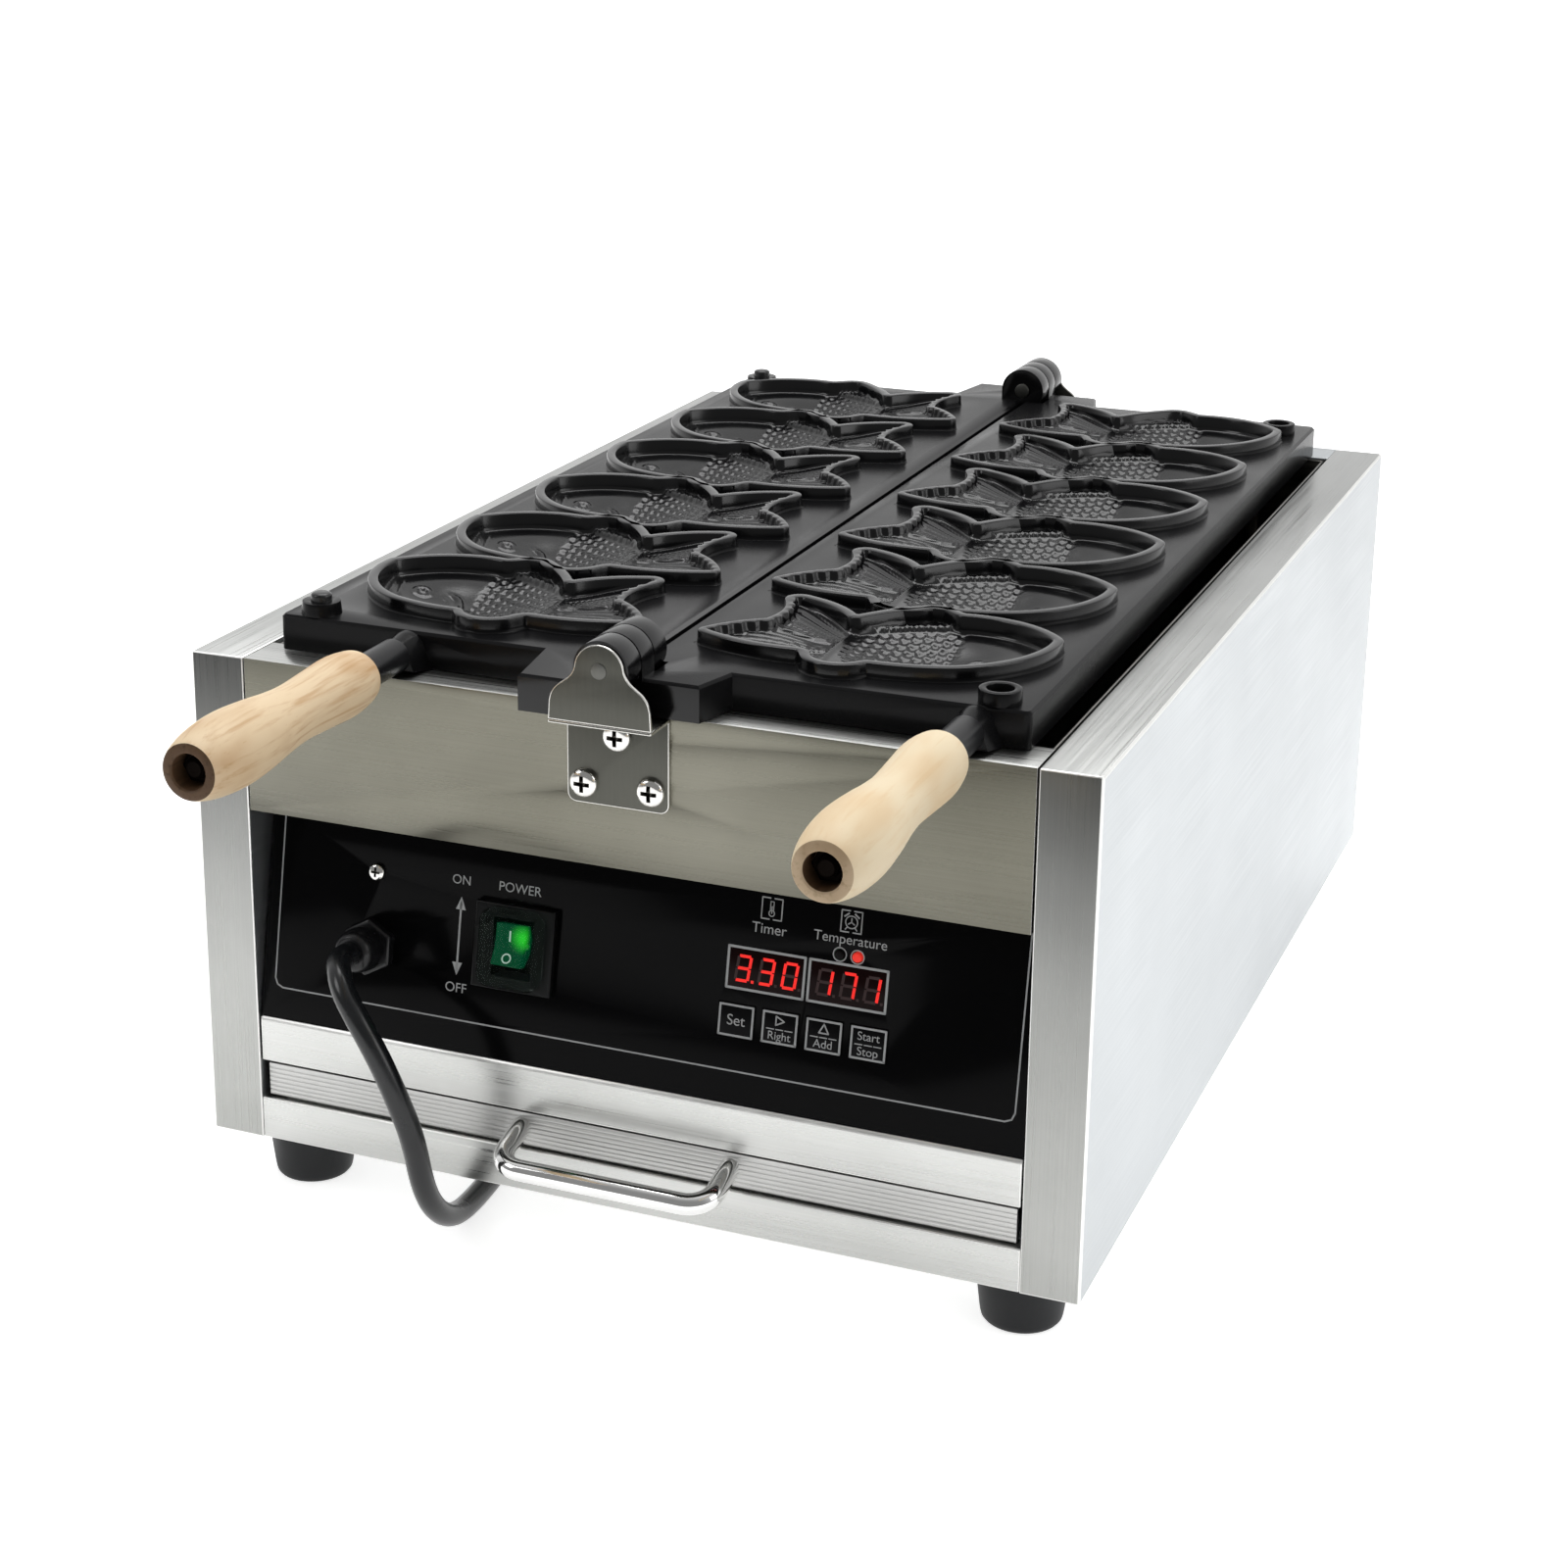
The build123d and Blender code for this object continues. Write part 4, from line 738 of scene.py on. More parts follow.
# ---------------------------------------------------------------- fish moulds
# Two aluminium castings with a black baked coat. Each carries six fish cups with standing rims; the
# cups are glossy from oil, the rims and the plate are satin.
PLATE_TOP = 267.0
RIM_TOP = 272.85
FISH_X = 83.0
FISH_Y = -144.0
FISH_PITCH = 83.0
FISH_COUNT = 6
KNUCKLE_REACH = 12.8
KNUCKLE_LOW = 262.0
OUTLINE_GAP = 1.2
FLOOR_GAP = 1.15
FLOOR_HALF = (76.0, 52.0)
FLOOR_FROM_WALL = 4.3
RIM_FOOT = 2.9
CUP_LOW = 255.9
UNDERSIDE = 258.0
RIDGE_X, RIDGE_Y, RIDGE_HIGH = (30.0, 43.0), (-17.5, 21.0), 2.5

mould_satin = skin_finish(
    "mould_satin", (0.0045, 0.0045, 0.005), (0.0085, 0.0085, 0.009), (0.18, 0.28), 0.12, 1500.0, 22.0, 0.10
)
cup_gloss = skin_finish(
    "cup_gloss", (0.0025, 0.0025, 0.003), (0.005, 0.005, 0.0055), (0.12, 0.22), 0.10, 1300.0, 40.0, 0.36
)


def arc_points(start, through, end):
    """Points OUTLINE_GAP apart along the arc through three points, without its end."""
    ax, ay = through[0] - start[0], through[1] - start[1]
    bx, by = end[0] - start[0], end[1] - start[1]
    cross = 2.0 * (ax * by - ay * bx)
    middle_x = (by * (ax * ax + ay * ay) - ay * (bx * bx + by * by)) / cross
    middle_y = (ax * (bx * bx + by * by) - bx * (ax * ax + ay * ay)) / cross
    radius = hypot(middle_x, middle_y)
    first = atan2(-middle_y, -middle_x)
    sweep = (atan2(by - middle_y, bx - middle_x) - first) % (2 * pi)
    passed = (atan2(ay - middle_y, ax - middle_x) - first) % (2 * pi)
    if passed > sweep:
        sweep -= 2 * pi
    steps = max(2, round(abs(sweep) * radius / OUTLINE_GAP))
    return [
        (
            start[0] + middle_x + radius * cos(first + sweep * n / steps),
            start[1] + middle_y + radius * sin(first + sweep * n / steps),
        )
        for n in range(steps)
    ]


def line_points(start, end):
    """Points OUTLINE_GAP apart along a line, without its end."""
    steps = max(1, round(hypot(end[0] - start[0], end[1] - start[1]) / OUTLINE_GAP))
    return [
        (start[0] + (end[0] - start[0]) * n / steps, start[1] + (end[1] - start[1]) * n / steps)
        for n in range(steps)
    ]


# middle line of a rim: the point each stretch bends through, and its end
fish_stretches = [
    ((4.0, 35.0), (-6.8, 45.0)),
    ((-12.0, 46.2), (-17.0, 43.6)),
    (None, (-23.5, 38.8)),
    ((-48.0, 37.2), (-71.0, 20.0)),
    (None, (-71.0, 12.0)),
    ((-62.0, -14.0), (-42.0, -32.0)),
    ((-25.0, -37.0), (-8.0, -38.2)),
    ((3.5, -46.7), (18.5, -36.8)),
    (None, (21.5, -33.0)),
    ((45.0, -32.4), (69.0, -24.0)),
    ((59.5, -9.5), (48.5, 0.0)),
    ((46.4, 14.0), (52.6, 34.0)),
    ((50.5, 38.2), (44.5, 37.8)),
    ((29.5, 30.4), (17.0, 17.5)),
]
FORK_STRETCHES = (10, 11)
SCALLOP = 1.5
SCALLOP_LONG = 6.4
outline, scallops = [], []
corner = fish_stretches[-1][1]
for count, (through, end) in enumerate(fish_stretches):
    stretch = arc_points(corner, through, end) if through else line_points(corner, end)
    for n in range(len(stretch)):
        inside_fork = count in FORK_STRETCHES and 1 < n < len(stretch) - 2
        scallops.append(SCALLOP * abs(sin(pi * n * OUTLINE_GAP / SCALLOP_LONG)) if inside_fork else 0.0)
    outline += stretch
    corner = end
outline = np.array(outline)
scallops = np.array(scallops)
for _ in range(3):
    outline = 0.5 * outline + 0.25 * (np.roll(outline, 1, axis=0) + np.roll(outline, -1, axis=0))
along = np.roll(outline, -1, axis=0) - np.roll(outline, 1, axis=0)
outward = np.stack([along[:, 1], -along[:, 0]], axis=1) / np.hypot(along[:, 0], along[:, 1])[:, None]


def gap_to_outline(spots):
    """How far each spot is from the rim's middle line."""
    runs = np.roll(outline, -1, axis=0) - outline
    squares = (runs**2).sum(axis=1)
    nearest = np.full(len(spots), 1e9)
    for base, run, square in zip(outline, runs, squares):
        away = spots - base
        share = np.clip(away @ run / square, 0.0, 1.0)
        nearest = np.minimum(nearest, np.hypot(*(away - share[:, None] * run).T))
    return nearest


def inside_outline(spots):
    """True for each spot inside the rim's middle line."""
    within = np.zeros(len(spots), bool)
    ends = np.roll(outline, -1, axis=0)
    for (au, av), (bu, bv) in zip(outline, ends):
        crosses = (av > spots[:, 1]) != (bv > spots[:, 1])
        if av != bv:
            crossing = au + (spots[:, 1] - av) * (bu - au) / (bv - av)
            within ^= crosses & (spots[:, 0] < crossing)
    return within


def ring(offset):
    """The outline moved out by offset, or in if it is negative, without its crossed corners."""
    reach = offset + (scallops if offset < 0 else 0.0)
    spots = outline + outward * np.reshape(reach * np.ones(len(outline)), (-1, 1))
    keep = gap_to_outline(spots) > np.abs(reach) - 0.06
    return spots[keep]


def eased(value, low, high):
    """0 below low, 1 above high and a smooth slope between them."""
    share = np.clip((value - low) / (high - low), 0.0, 1.0)
    return share * share * (3.0 - 2.0 * share)


def ridge(gap, half):
    """A rounded ridge of height 1 on the line where gap is 0."""
    return np.exp(-((gap / half) ** 2))


def cup_floor(spots):
    """Height of the floor of a cup, with all that it presses into a cake."""
    u, v = spots[:, 0], spots[:, 1]
    # bowl of the body
    bowl = np.sqrt(((u + 27.0) / 44.0) ** 2 + ((v - 1.0) / 36.0) ** 2)
    body = 257.6 + 7.6 * eased(bowl, 0.15, 1.02)
    # scales: hollows in staggered columns between the gill and the tail
    column = np.round((u + 4.0) / 4.3)
    across = (v + 2.6 * (column % 2)) / 5.2
    hollow = np.hypot(u + 4.0 - 4.3 * column, (across - np.round(across)) * 5.2)
    scaled = eased(u, -29.0, -25.5) * (1.0 - eased(u, 12.5, 16.0)) * (1.0 - eased(bowl, 0.86, 1.02))
    body -= scaled * 1.2 * np.clip(1.0 - (hollow / 2.75) ** 2, 0.0, 1.0)
    # gill cover, cheek, eye and mouth
    cheek = np.hypot(u + 46.0, v - 2.0)
    facing = eased(u, -44.0, -38.0) * (1.0 - eased(np.abs(v - 2.0), 12.5, 15.5))
    body += facing * (1.3 * ridge(cheek - 16.0, 1.0) + 0.7 * ridge(cheek - 11.5, 0.8))
    eye = np.hypot(u + 51.5, v - 11.0)
    body += 1.0 * ridge(eye - 3.4, 0.75) - 0.8 * ridge(eye, 1.7)
    for lip in (0.0, 4.2):
        lips = (u + 64.5 - lip) + 0.35 * (v - 8.0)
        body += 0.9 * ridge(lips, 0.8) * (1.0 - eased(np.abs(v - 8.0), 6.0, 9.0))
    # pectoral fin
    fan_u, fan_v = u + 27.0, v + 9.0
    fan = np.hypot(fan_u / 9.5, fan_v / 5.5)
    finned = 1.0 - eased(fan, 0.8, 1.0)
    body += finned * (0.7 + 0.45 * np.cos(2 * pi * (fan_v + 0.25 * fan_u) / 2.6)) * eased(fan_u, -8.0, 8.0)
    # dorsal and pelvic fins, shallower than the body, with rays
    dorsal_line = 38.0 - 0.605 * (u + 21.0) + 3.6 * np.sin(pi * np.clip((u + 21.0) / 38.0, 0, 1))
    dorsal = eased(v - dorsal_line, -0.7, 0.7) * eased(u, -24.0, -21.0)
    pelvic_line = -36.0 + 0.43 * (u + 8.0) - 2.4 * np.sin(pi * np.clip((u + 8.0) / 28.0, 0, 1))
    pelvic = eased(pelvic_line - v, -0.7, 0.7) * eased(u, -11.0, -7.5)
    fins = 267.0 + 0.4 * np.cos(2 * pi * (u + 0.55 * v) / 3.0)
    ground = body * (1.0 - dorsal) * (1.0 - pelvic) + fins * (1.0 - (1.0 - dorsal) * (1.0 - pelvic))
    ground += 0.9 * ridge(v - dorsal_line, 0.9) * eased(u, -21.0, -17.0) * (1.0 - eased(u, 15.0, 18.0))
    # tail, rising towards the fork, with rays that fan out from its root
    tail = eased(u - 0.9 * np.cos(v / 12.0), 15.6, 17.6)
    fan_angle = np.degrees(np.arctan2(v + 3.0, u - 1.0))
    rays = 0.45 * np.cos(2 * pi * fan_angle / 6.4)
    for strong in (42.0, 7.0, -24.0):
        rays += 1.3 * ridge(fan_angle - strong, 1.7)
    sheet = 265.2 + 3.3 * eased(u, 18.0, 52.0) + rays * eased(u, 17.0, 20.0)
    ground = ground * (1.0 - tail) + sheet * tail
    ground += 1.1 * ridge(u - 0.9 * np.cos(v / 12.0) - 16.6, 0.9)
    return ground


# rings from the foot of the rim, over it and down the drafted wall: offset and height
rim_rings = [
    (3.30, 266.96),
    (2.85, 267.10),
    (2.60, 267.60),
    (2.42, 268.60),
    (2.26, 272.25),
    (2.08, 272.68),
    (1.75, 272.85),
    (-1.75, 272.85),
    (-2.08, 272.70),
    (-2.32, 272.25),
]
# rings at the foot of the wall: offset and height above the floor
wall_foot = [(-2.95, 1.9), (-3.20, 0.7), (-3.75, 0.1)]
cup_spots, cup_heights, cup_edges = [], [], []
for offset, height in rim_rings + wall_foot:
    spots = ring(offset)
    heights = height + (cup_floor(spots) if (offset, height) in wall_foot else np.zeros(len(spots)))
    first = len(cup_spots)
    cup_edges += [(first + n, first + (n + 1) % len(spots)) for n in range(len(spots))]
    cup_spots += [tuple(spot) for spot in spots]
    cup_heights += list(heights)
steps_u = np.arange(-FLOOR_HALF[0], FLOOR_HALF[0], FLOOR_GAP)
steps_v = np.arange(-FLOOR_HALF[1], FLOOR_HALF[1], FLOOR_GAP * 0.866)
grid_u, grid_v = np.meshgrid(steps_u, steps_v)
grid_u = grid_u + 0.5 * FLOOR_GAP * (np.arange(len(grid_u)) % 2)[:, None]
grid = np.stack([grid_u.ravel(), grid_v.ravel()], axis=1)
grid = grid[inside_outline(grid)]
grid = grid[gap_to_outline(grid) > FLOOR_FROM_WALL]
cup_spots += [tuple(spot) for spot in grid]
cup_heights += list(cup_floor(grid))
made_spots, _, made_faces, made_from, _, _ = delaunay_2d_cdt(
    [Vector(spot) for spot in cup_spots], cup_edges, [], 1, 1e-4
)
cup_points = []
for spot, sources in zip(made_spots, made_from):
    height = cup_heights[sources[0]] if sources else RIM_TOP
    cup_points.append((spot.x * MM, spot.y * MM, height * MM))
glossy_from = sum(len(ring(offset)) for offset, _ in rim_rings[:3])
glossy_faces = []
for face in made_faces:
    sources = [made_from[corner][0] if made_from[corner] else 0 for corner in face]
    glossy_faces.append(min(sources) >= glossy_from)


def fish_cup(hand, count):
    """One cup with its rim; hand is -1 in the left mould and 1, mirrored, in the right one."""
    turn = -1 if hand > 0 else 1
    cup_mesh = bpy.data.meshes.new("fish_cup")
    middle = Vector((hand * FISH_X * MM, (FISH_Y + FISH_PITCH * count) * MM, 0))
    points = [middle + Vector((turn * x, y, z)) for x, y, z in cup_points]
    cup_mesh.from_pydata(points, [], [face[::turn] for face in made_faces])
    cup_mesh.materials.append(mould_satin)
    cup_mesh.materials.append(cup_gloss)
    cup_mesh.polygons.foreach_set("material_index", [int(glossy) for glossy in glossy_faces])
    cup_mesh.polygons.foreach_set("use_smooth", [True] * len(glossy_faces))
    cup = bpy.data.objects.new("fish_cup", cup_mesh)
    bpy.context.scene.collection.objects.link(cup)
    return cup


def grind_ridge(casting):
    """A short ridge under the plate is pressed flush with it, and its walls go as they close up."""
    bpy.ops.mesh.select_mode(type="VERT")
    bpy.ops.mesh.select_all(action="DESELECT")
    bpy.ops.object.mode_set(mode="OBJECT")
    for vertex in casting.data.vertices:
        spot = vertex.co / MM
        in_place = RIDGE_X[0] < abs(spot.x) < RIDGE_X[1] and RIDGE_Y[0] < spot.y < RIDGE_Y[1]
        vertex.select = in_place and UNDERSIDE - RIDGE_HIGH < spot.z < UNDERSIDE + 0.05
        if vertex.select:
            vertex.co.z = UNDERSIDE * MM
    bpy.ops.object.mode_set(mode="EDIT")
    bpy.ops.mesh.remove_doubles(threshold=0.6 * MM)
    bpy.ops.mesh.dissolve_degenerate(threshold=0.1 * MM)


def mould_piece(side, hand):
    """A casting: the node's plate, lugs and knuckles, with detailed cups in place of its plain ones."""
    casting = node_copy(f"{side}_mould")
    middles = np.array([face.center for face in casting.data.polygons]) / MM
    row = np.clip(np.round((middles[:, 1] - FISH_Y) / FISH_PITCH), 0, FISH_COUNT - 1)
    spots = np.stack([FISH_X - hand * middles[:, 0], middles[:, 1] - FISH_Y - FISH_PITCH * row], axis=1)
    over_cup = inside_outline(spots) | (gap_to_outline(spots) < RIM_FOOT)
    picked(casting)
    bpy.ops.object.mode_set(mode="EDIT")
    bpy.ops.mesh.select_mode(type="FACE")
    bpy.ops.mesh.select_all(action="DESELECT")
    bpy.ops.object.mode_set(mode="OBJECT")
    for face, covered in zip(casting.data.polygons, over_cup):
        heights = [casting.data.vertices[corner].co.z / MM for corner in face.vertices]
        on_plate = max(heights) < PLATE_TOP + 0.05 and min(heights) > PLATE_TOP - 0.05
        looks_up = face.normal.z > -0.02 and min(heights) > CUP_LOW
        face.select = bool(covered) and looks_up and not on_plate
    bpy.ops.object.mode_set(mode="EDIT")
    bpy.ops.mesh.delete(type="FACE")
    grind_ridge(casting)
    bpy.ops.object.mode_set(mode="OBJECT")
    smoothed(rounded(casting, 0.6, 3))
    casting.data.materials.clear()
    casting.data.materials.append(mould_satin)
    casting.data.materials.append(cup_gloss)
    for face in casting.data.polygons:
        if abs(face.center.x) < KNUCKLE_REACH * MM and face.center.z > KNUCKLE_LOW * MM:
            face.material_index = 1
    whole = joined([casting] + [fish_cup(hand, count) for count in range(FISH_COUNT)])
    return settle(whole, f"{side}_fish_mould", None, f"{side}_mould")


for side, hand in (("left", -1), ("right", 1)):
    mould_piece(side, hand)

# ---------------------------------------------------------------- heater chamber and elements
# Bright folded pan that reflects the heat, with two sheathed elements bent back and forth under the
# moulds. Both have blued and browned from use.
pan_steel = brushed_finish(
    "pan_steel", (0.16, 0.155, 0.145), (0.30, 0.29, 0.27), (8.0, 500.0, 500.0), (0.30, 0.45)
)
sheath_steel = metal_finish("sheath_steel", (0.20, 0.18, 0.16), (0.35, 0.50), relief=0.2)
dressed("heater_chamber", "reflector_pan", pan_steel)
for side in ("left", "right"):
    dressed(f"{side}_heating_element", f"{side}_element", sheath_steel, 0.05, 1)
    dressed(f"{side}_tray_runner", f"{side}_runner", side_lit_steel)

# ---------------------------------------------------------------- locating pins and sockets
# Blackened steel pins with domed ends are pressed into the left mould, and turned bushes into the
# right one. The pins enter them as the moulds close.
PIN_X = 150.5
LOCATOR_Y = {"front": -193.0, "back": 310.0}
PIN_SUNK = 3.0
pin_black = skin_finish(
    "pin_black", (0.008, 0.008, 0.009), (0.016, 0.016, 0.017), (0.22, 0.34), 0.1, 1200.0, 60.0, 0.4
)
pin_profile = [(0.0, 4.5), (10.7, 4.5), (11.2, 4.36), (11.7, 3.9), (12.0, 3.2), (12.0, 0.2)]
bush_profile = [(0.0, 8.7), (5.0, 8.7), (5.5, 8.5), (5.7, 8.1), (5.7, 6.2), (5.5, 5.7), (5.0, 5.5)]
bush_profile += [(0.5, 5.5), (0.45, 0.2)]
for end, locator_y in LOCATOR_Y.items():
    pin = turned(pin_profile, (-PIN_X * MM, locator_y * MM, (PLATE_TOP - PIN_SUNK) * MM), (0, 0, 1))
    settle(pin, f"{end}_pin", pin_black, f"{end}_locating_pin")
    bush = turned(bush_profile, (PIN_X * MM, locator_y * MM, PLATE_TOP * MM), (0, 0, 1))
    settle(bush, f"{end}_bush", mould_satin, f"{end}_locating_socket")

# ---------------------------------------------------------------- handles
# A black steel rod with a collar screws into each mould. A turned beech grip slides over it and is
# held by a nut sunk in its end, where the wood is scorched.
GRIP_X = {"left": -104.6, "right": 143.6}
GRIP_Z = 259.4
GRIP_FROM = -243.0
GRIP_LONG = 127.0
BORE_R = 7.25
BORE_FROM = 100.0
SCORCH_DEEP = 0.45
ROD_FROM = -214.0
ROD_END_Y = -0.345

# wood: pale ground, broad tan clouds, fine streaks along the grip and short pores
wood_grain, wood_in, wood_out = effect_group(
    "wood_grain",
    Pale=(0.85, 0.67, 0.43, 1.0),
    Tan=(0.67, 0.41, 0.19, 1.0),
    Clouds=0.5,
    Streaks=0.5,
)
here = add_node(wood_grain, "TexCoord")["Object"]


def wood_mark(scale, detail, low, high, most=1.0):
    """Noise scaled differently along each axis, read between two levels and scaled up to most."""
    place = add_node(wood_grain, "Mapping", {"Vector": here, "Scale": scale})["Vector"]
    noise = fine_noise(wood_grain, place, 1.0, detail)
    band = {"Value": noise, "From Min": low, "From Max": high, "To Max": most}
    return add_node(wood_grain, "MapRange", band, interpolation_type="SMOOTHSTEP")["Result"]


clouds = wood_mark((46.0, 20.0, 46.0), 2.0, 0.46, 0.72)
streaks = wood_mark((420.0, 16.0, 420.0), 5.0, 0.50, 0.75)
pores = wood_mark((1500.0, 120.0, 1500.0), 2.0, 0.66, 0.74, 0.5)
wood_tone = wood_in["Pale"]
for mark, amount in ((clouds, "Clouds"), (streaks, "Streaks"), (pores, "Streaks")):
    share = add_node(wood_grain, "Math", {0: mark, 1: wood_in[amount]}, operation="MULTIPLY")[0]
    wood_tone = mixed(wood_grain, share, wood_tone, wood_in["Tan"])
wood_grain.links.new(wood_tone, wood_out["Color"])
wood_gloss = add_node(wood_grain, "MapRange", {"Value": streaks, "To Min": 0.50, "To Max": 0.66})
wood_grain.links.new(wood_gloss["Result"], wood_out["Roughness"])
wood_bump = add_node(wood_grain, "Bump", {"Height": streaks, "Strength": 0.18, "Distance": 0.0002})
wood_grain.links.new(wood_bump["Normal"], wood_out["Normal"])


def wood_finish(name, pale, tan, clouds, streaks):
    """Beech in a given pair of colours."""
    finish = group_finish(name, wood_grain, Pale=pale, Tan=tan, Clouds=clouds, Streaks=streaks)
    principled(finish).inputs["Specular IOR Level"].default_value = 0.25
    return finish


beech = {
    "left": wood_finish("beech_left", (0.82, 0.64, 0.42), (0.52, 0.28, 0.11), 0.60, 0.55),
    "right": wood_finish("beech_right", (0.86, 0.72, 0.50), (0.72, 0.47, 0.23), 0.40, 0.25),
}
scorched = {
    "left": wood_finish("scorched_left", (0.125, 0.070, 0.036), (0.055, 0.030, 0.016), 0.8, 0.8),
    "right": wood_finish("scorched_right", (0.66, 0.50, 0.33), (0.42, 0.29, 0.17), 0.8, 0.8),
}
# dark wood for the wall of the bore, painted shade
shaded_bore_wood = wood_finish("shaded_bore_wood", (0.15, 0.085, 0.045), (0.07, 0.038, 0.020), 0.7, 0.7)
rod_black = skin_finish(
    "rod_black", (0.006, 0.006, 0.007), (0.012, 0.012, 0.013), (0.22, 0.32), 0.12, 1200.0, 30.0, 0.25
)
# near-black metal for the nut and the rod's end deep in the bore, painted shade
shaded_nut_steel = metal_finish("shaded_nut_steel", (0.008, 0.006, 0.005), (0.60, 0.75))
rod_profile = [(0.0, 6.6), (0.0, 7.4), (1.0, 7.4), (28.2, 7.4), (29.0, 6.8), (29.0, 4.0), (150.8, 4.0)]
rod_profile += [(152.0, 3.0), (152.0, 0.2)]
grip_sides = [(0.0, 8.8), (1.6, 10.6), (5.0, 12.0), (17.0, 13.3), (34.0, 12.6), (52.0, 11.9), (66.0, 12.7)]
grip_sides += [(80.0, 14.2), (95.0, 15.3), (106.0, 15.1), (116.0, 14.0), (123.5, 12.3), (126.4, 11.2)]
grip_mouth = [(GRIP_LONG, 10.2), (GRIP_LONG, 7.9), (GRIP_LONG - 0.6, BORE_R), (115.2, BORE_R), (115.0, 4.3)]
for side, grip_x in GRIP_X.items():
    rod = turned(rod_profile, (grip_x * MM, ROD_FROM * MM, GRIP_Z * MM), (0, -1, 0))
    settle(rod, f"{side}_rod", rod_black, f"{side}_handle_rod")
    # painted shade: the rod's end inside the bore gets the near-black nut metal
    rod.data.materials.append(shaded_nut_steel)
    for face in rod.data.polygons:
        face.material_index = int(face.center.y < ROD_END_Y)
    grip_foot = (grip_x * MM, GRIP_FROM * MM, GRIP_Z * MM)
    grip = turned(rounded_line(grip_sides) + grip_mouth, grip_foot, (0, -1, 0), 64)
    settle(grip, f"{side}_wooden_grip", beech[side], f"{side}_grip")
    grip.data.materials.append(scorched[side])
    grip.data.materials.append(shaded_bore_wood)
    # the scorched end, and painted shade on the wall of the bore
    for face in grip.data.polygons:
        depth = GRIP_FROM - face.center.y / MM
        off_axis = hypot(face.center.x / MM - grip_x, face.center.z / MM - GRIP_Z)
        if depth > GRIP_LONG - SCORCH_DEEP:
            face.material_index = 1
        elif depth > BORE_FROM and off_axis < BORE_R + 0.1:
            face.material_index = 2
    dressed(f"{side}_grip_nut", f"{side}_nut", shaded_nut_steel, 0.3)

# ---------------------------------------------------------------- control panel
# Gloss black acrylic sheet that leans back, screwed to the cabinet, with grey screen-printed marks.
# Places on it are (u, v, w): to the right, up the sheet and out of it, in mm.
PANEL_LEAN = 78.69
PANEL_FOOT = (0.0, -217.5, 87.0)
PRINT_LIFT = 0.05
SHEET_SCREW = (-121.5, 71.5)
panel_frame = Matrix.Translation(Vector(PANEL_FOOT) * MM) @ Matrix.Rotation(radians(PANEL_LEAN), 4, "X")
panel_out = panel_frame.to_3x3() @ Vector((0, 0, 1))


def on_panel(u, v, w=0.0):
    """A place on the panel, in metres."""
    return panel_frame @ (Vector((u, v, w)) * MM)


panel_gloss = skin_finish(
    "panel_gloss", (0.0018, 0.0018, 0.002), (0.003, 0.003, 0.0034), (0.12, 0.18), 0.02, 500.0, 12.0, 0.05
)
print_grey = skin_finish(
    "print_grey", (0.40, 0.41, 0.415), (0.50, 0.51, 0.515), (0.45, 0.6), 0.1, 2500.0, 200.0, 0.2
)
dressed("control_panel", "front_sheet", panel_gloss, 0.3).data.transform(END_GAP)
sheet_screw = cross_screw("screw", 3.8, 2.2, on_panel(*SHEET_SCREW), panel_out)
settle(sheet_screw, "sheet_screw", None, "panel_screw")


def bar(u, v, long, thick, turn=0.0):
    """A printed stroke: its middle, its length, its thickness and its slope in degrees."""
    bpy.ops.mesh.primitive_plane_add(size=MM, location=(u * MM, v * MM, 0), rotation=(0, 0, radians(turn)))
    stroke = bpy.context.object
    stroke.scale = (long, thick, 1.0)
    bpy.ops.object.transform_apply(location=True, rotation=True, scale=True)
    return stroke


def stroke_between(start, end, thick):
    """A printed stroke from one place to another."""
    run = (end[0] - start[0], end[1] - start[1])
    middle = ((start[0] + end[0]) / 2, (start[1] + end[1]) / 2)
    return bar(*middle, hypot(*run) + 0.6 * thick, thick, atan2(run[1], run[0]) * 180.0 / pi)


def stroke_line(corners, thick, closed=False):
    """Printed strokes along a bent line."""
    ends = corners[1:] + corners[:1] if closed else corners[1:]
    return [stroke_between(start, end, thick) for start, end in zip(corners, ends)]


def box_line(u, v, wide, high, thick):
    """A printed rectangle."""
    ways = ((-1, -1), (1, -1), (1, 1), (-1, 1))
    return stroke_line([(u + a * wide / 2, v + b * high / 2) for a, b in ways], thick, True)


def circle_line(u, v, radius, thick, sides=32):
    """A printed circle."""
    inner, outer = radius - thick / 2, radius + thick / 2
    bpy.ops.mesh.primitive_circle_add(vertices=sides, radius=inner * MM, location=(u * MM, v * MM, 0))
    circle = bpy.context.object
    bpy.ops.object.transform_apply(location=True)
    grow = outer / inner
    edit_whole()
    bpy.ops.mesh.extrude_edges_move()
    bpy.ops.transform.resize(value=(grow, grow, 1.0), center_override=(u * MM, v * MM, 0))
    faces_outwards()
    return [circle]


def dashed_line(start, end, dashes, thick):
    """A printed line of dashes."""
    marks = []
    for n in range(dashes):
        low, high = (n + 0.1) / dashes, (n + 0.9) / dashes
        ends = [
            (start[0] + (end[0] - start[0]) * share, start[1] + (end[1] - start[1]) * share)
            for share in (low, high)
        ]
        marks.append(stroke_between(*ends, thick))
    return marks


def words(text, u, v, high):
    """A printed word centred on a place."""
    deselect_all()
    bpy.ops.object.text_add(location=(u * MM, v * MM, 0))
    word = bpy.context.object
    word.data.body = text
    word.data.size = high * MM
    word.data.align_x = "CENTER"
    word.data.align_y = "CENTER"
    bpy.ops.object.convert(target="MESH")
    word = bpy.context.object
    bpy.ops.object.transform_apply(location=True)
    return [word]


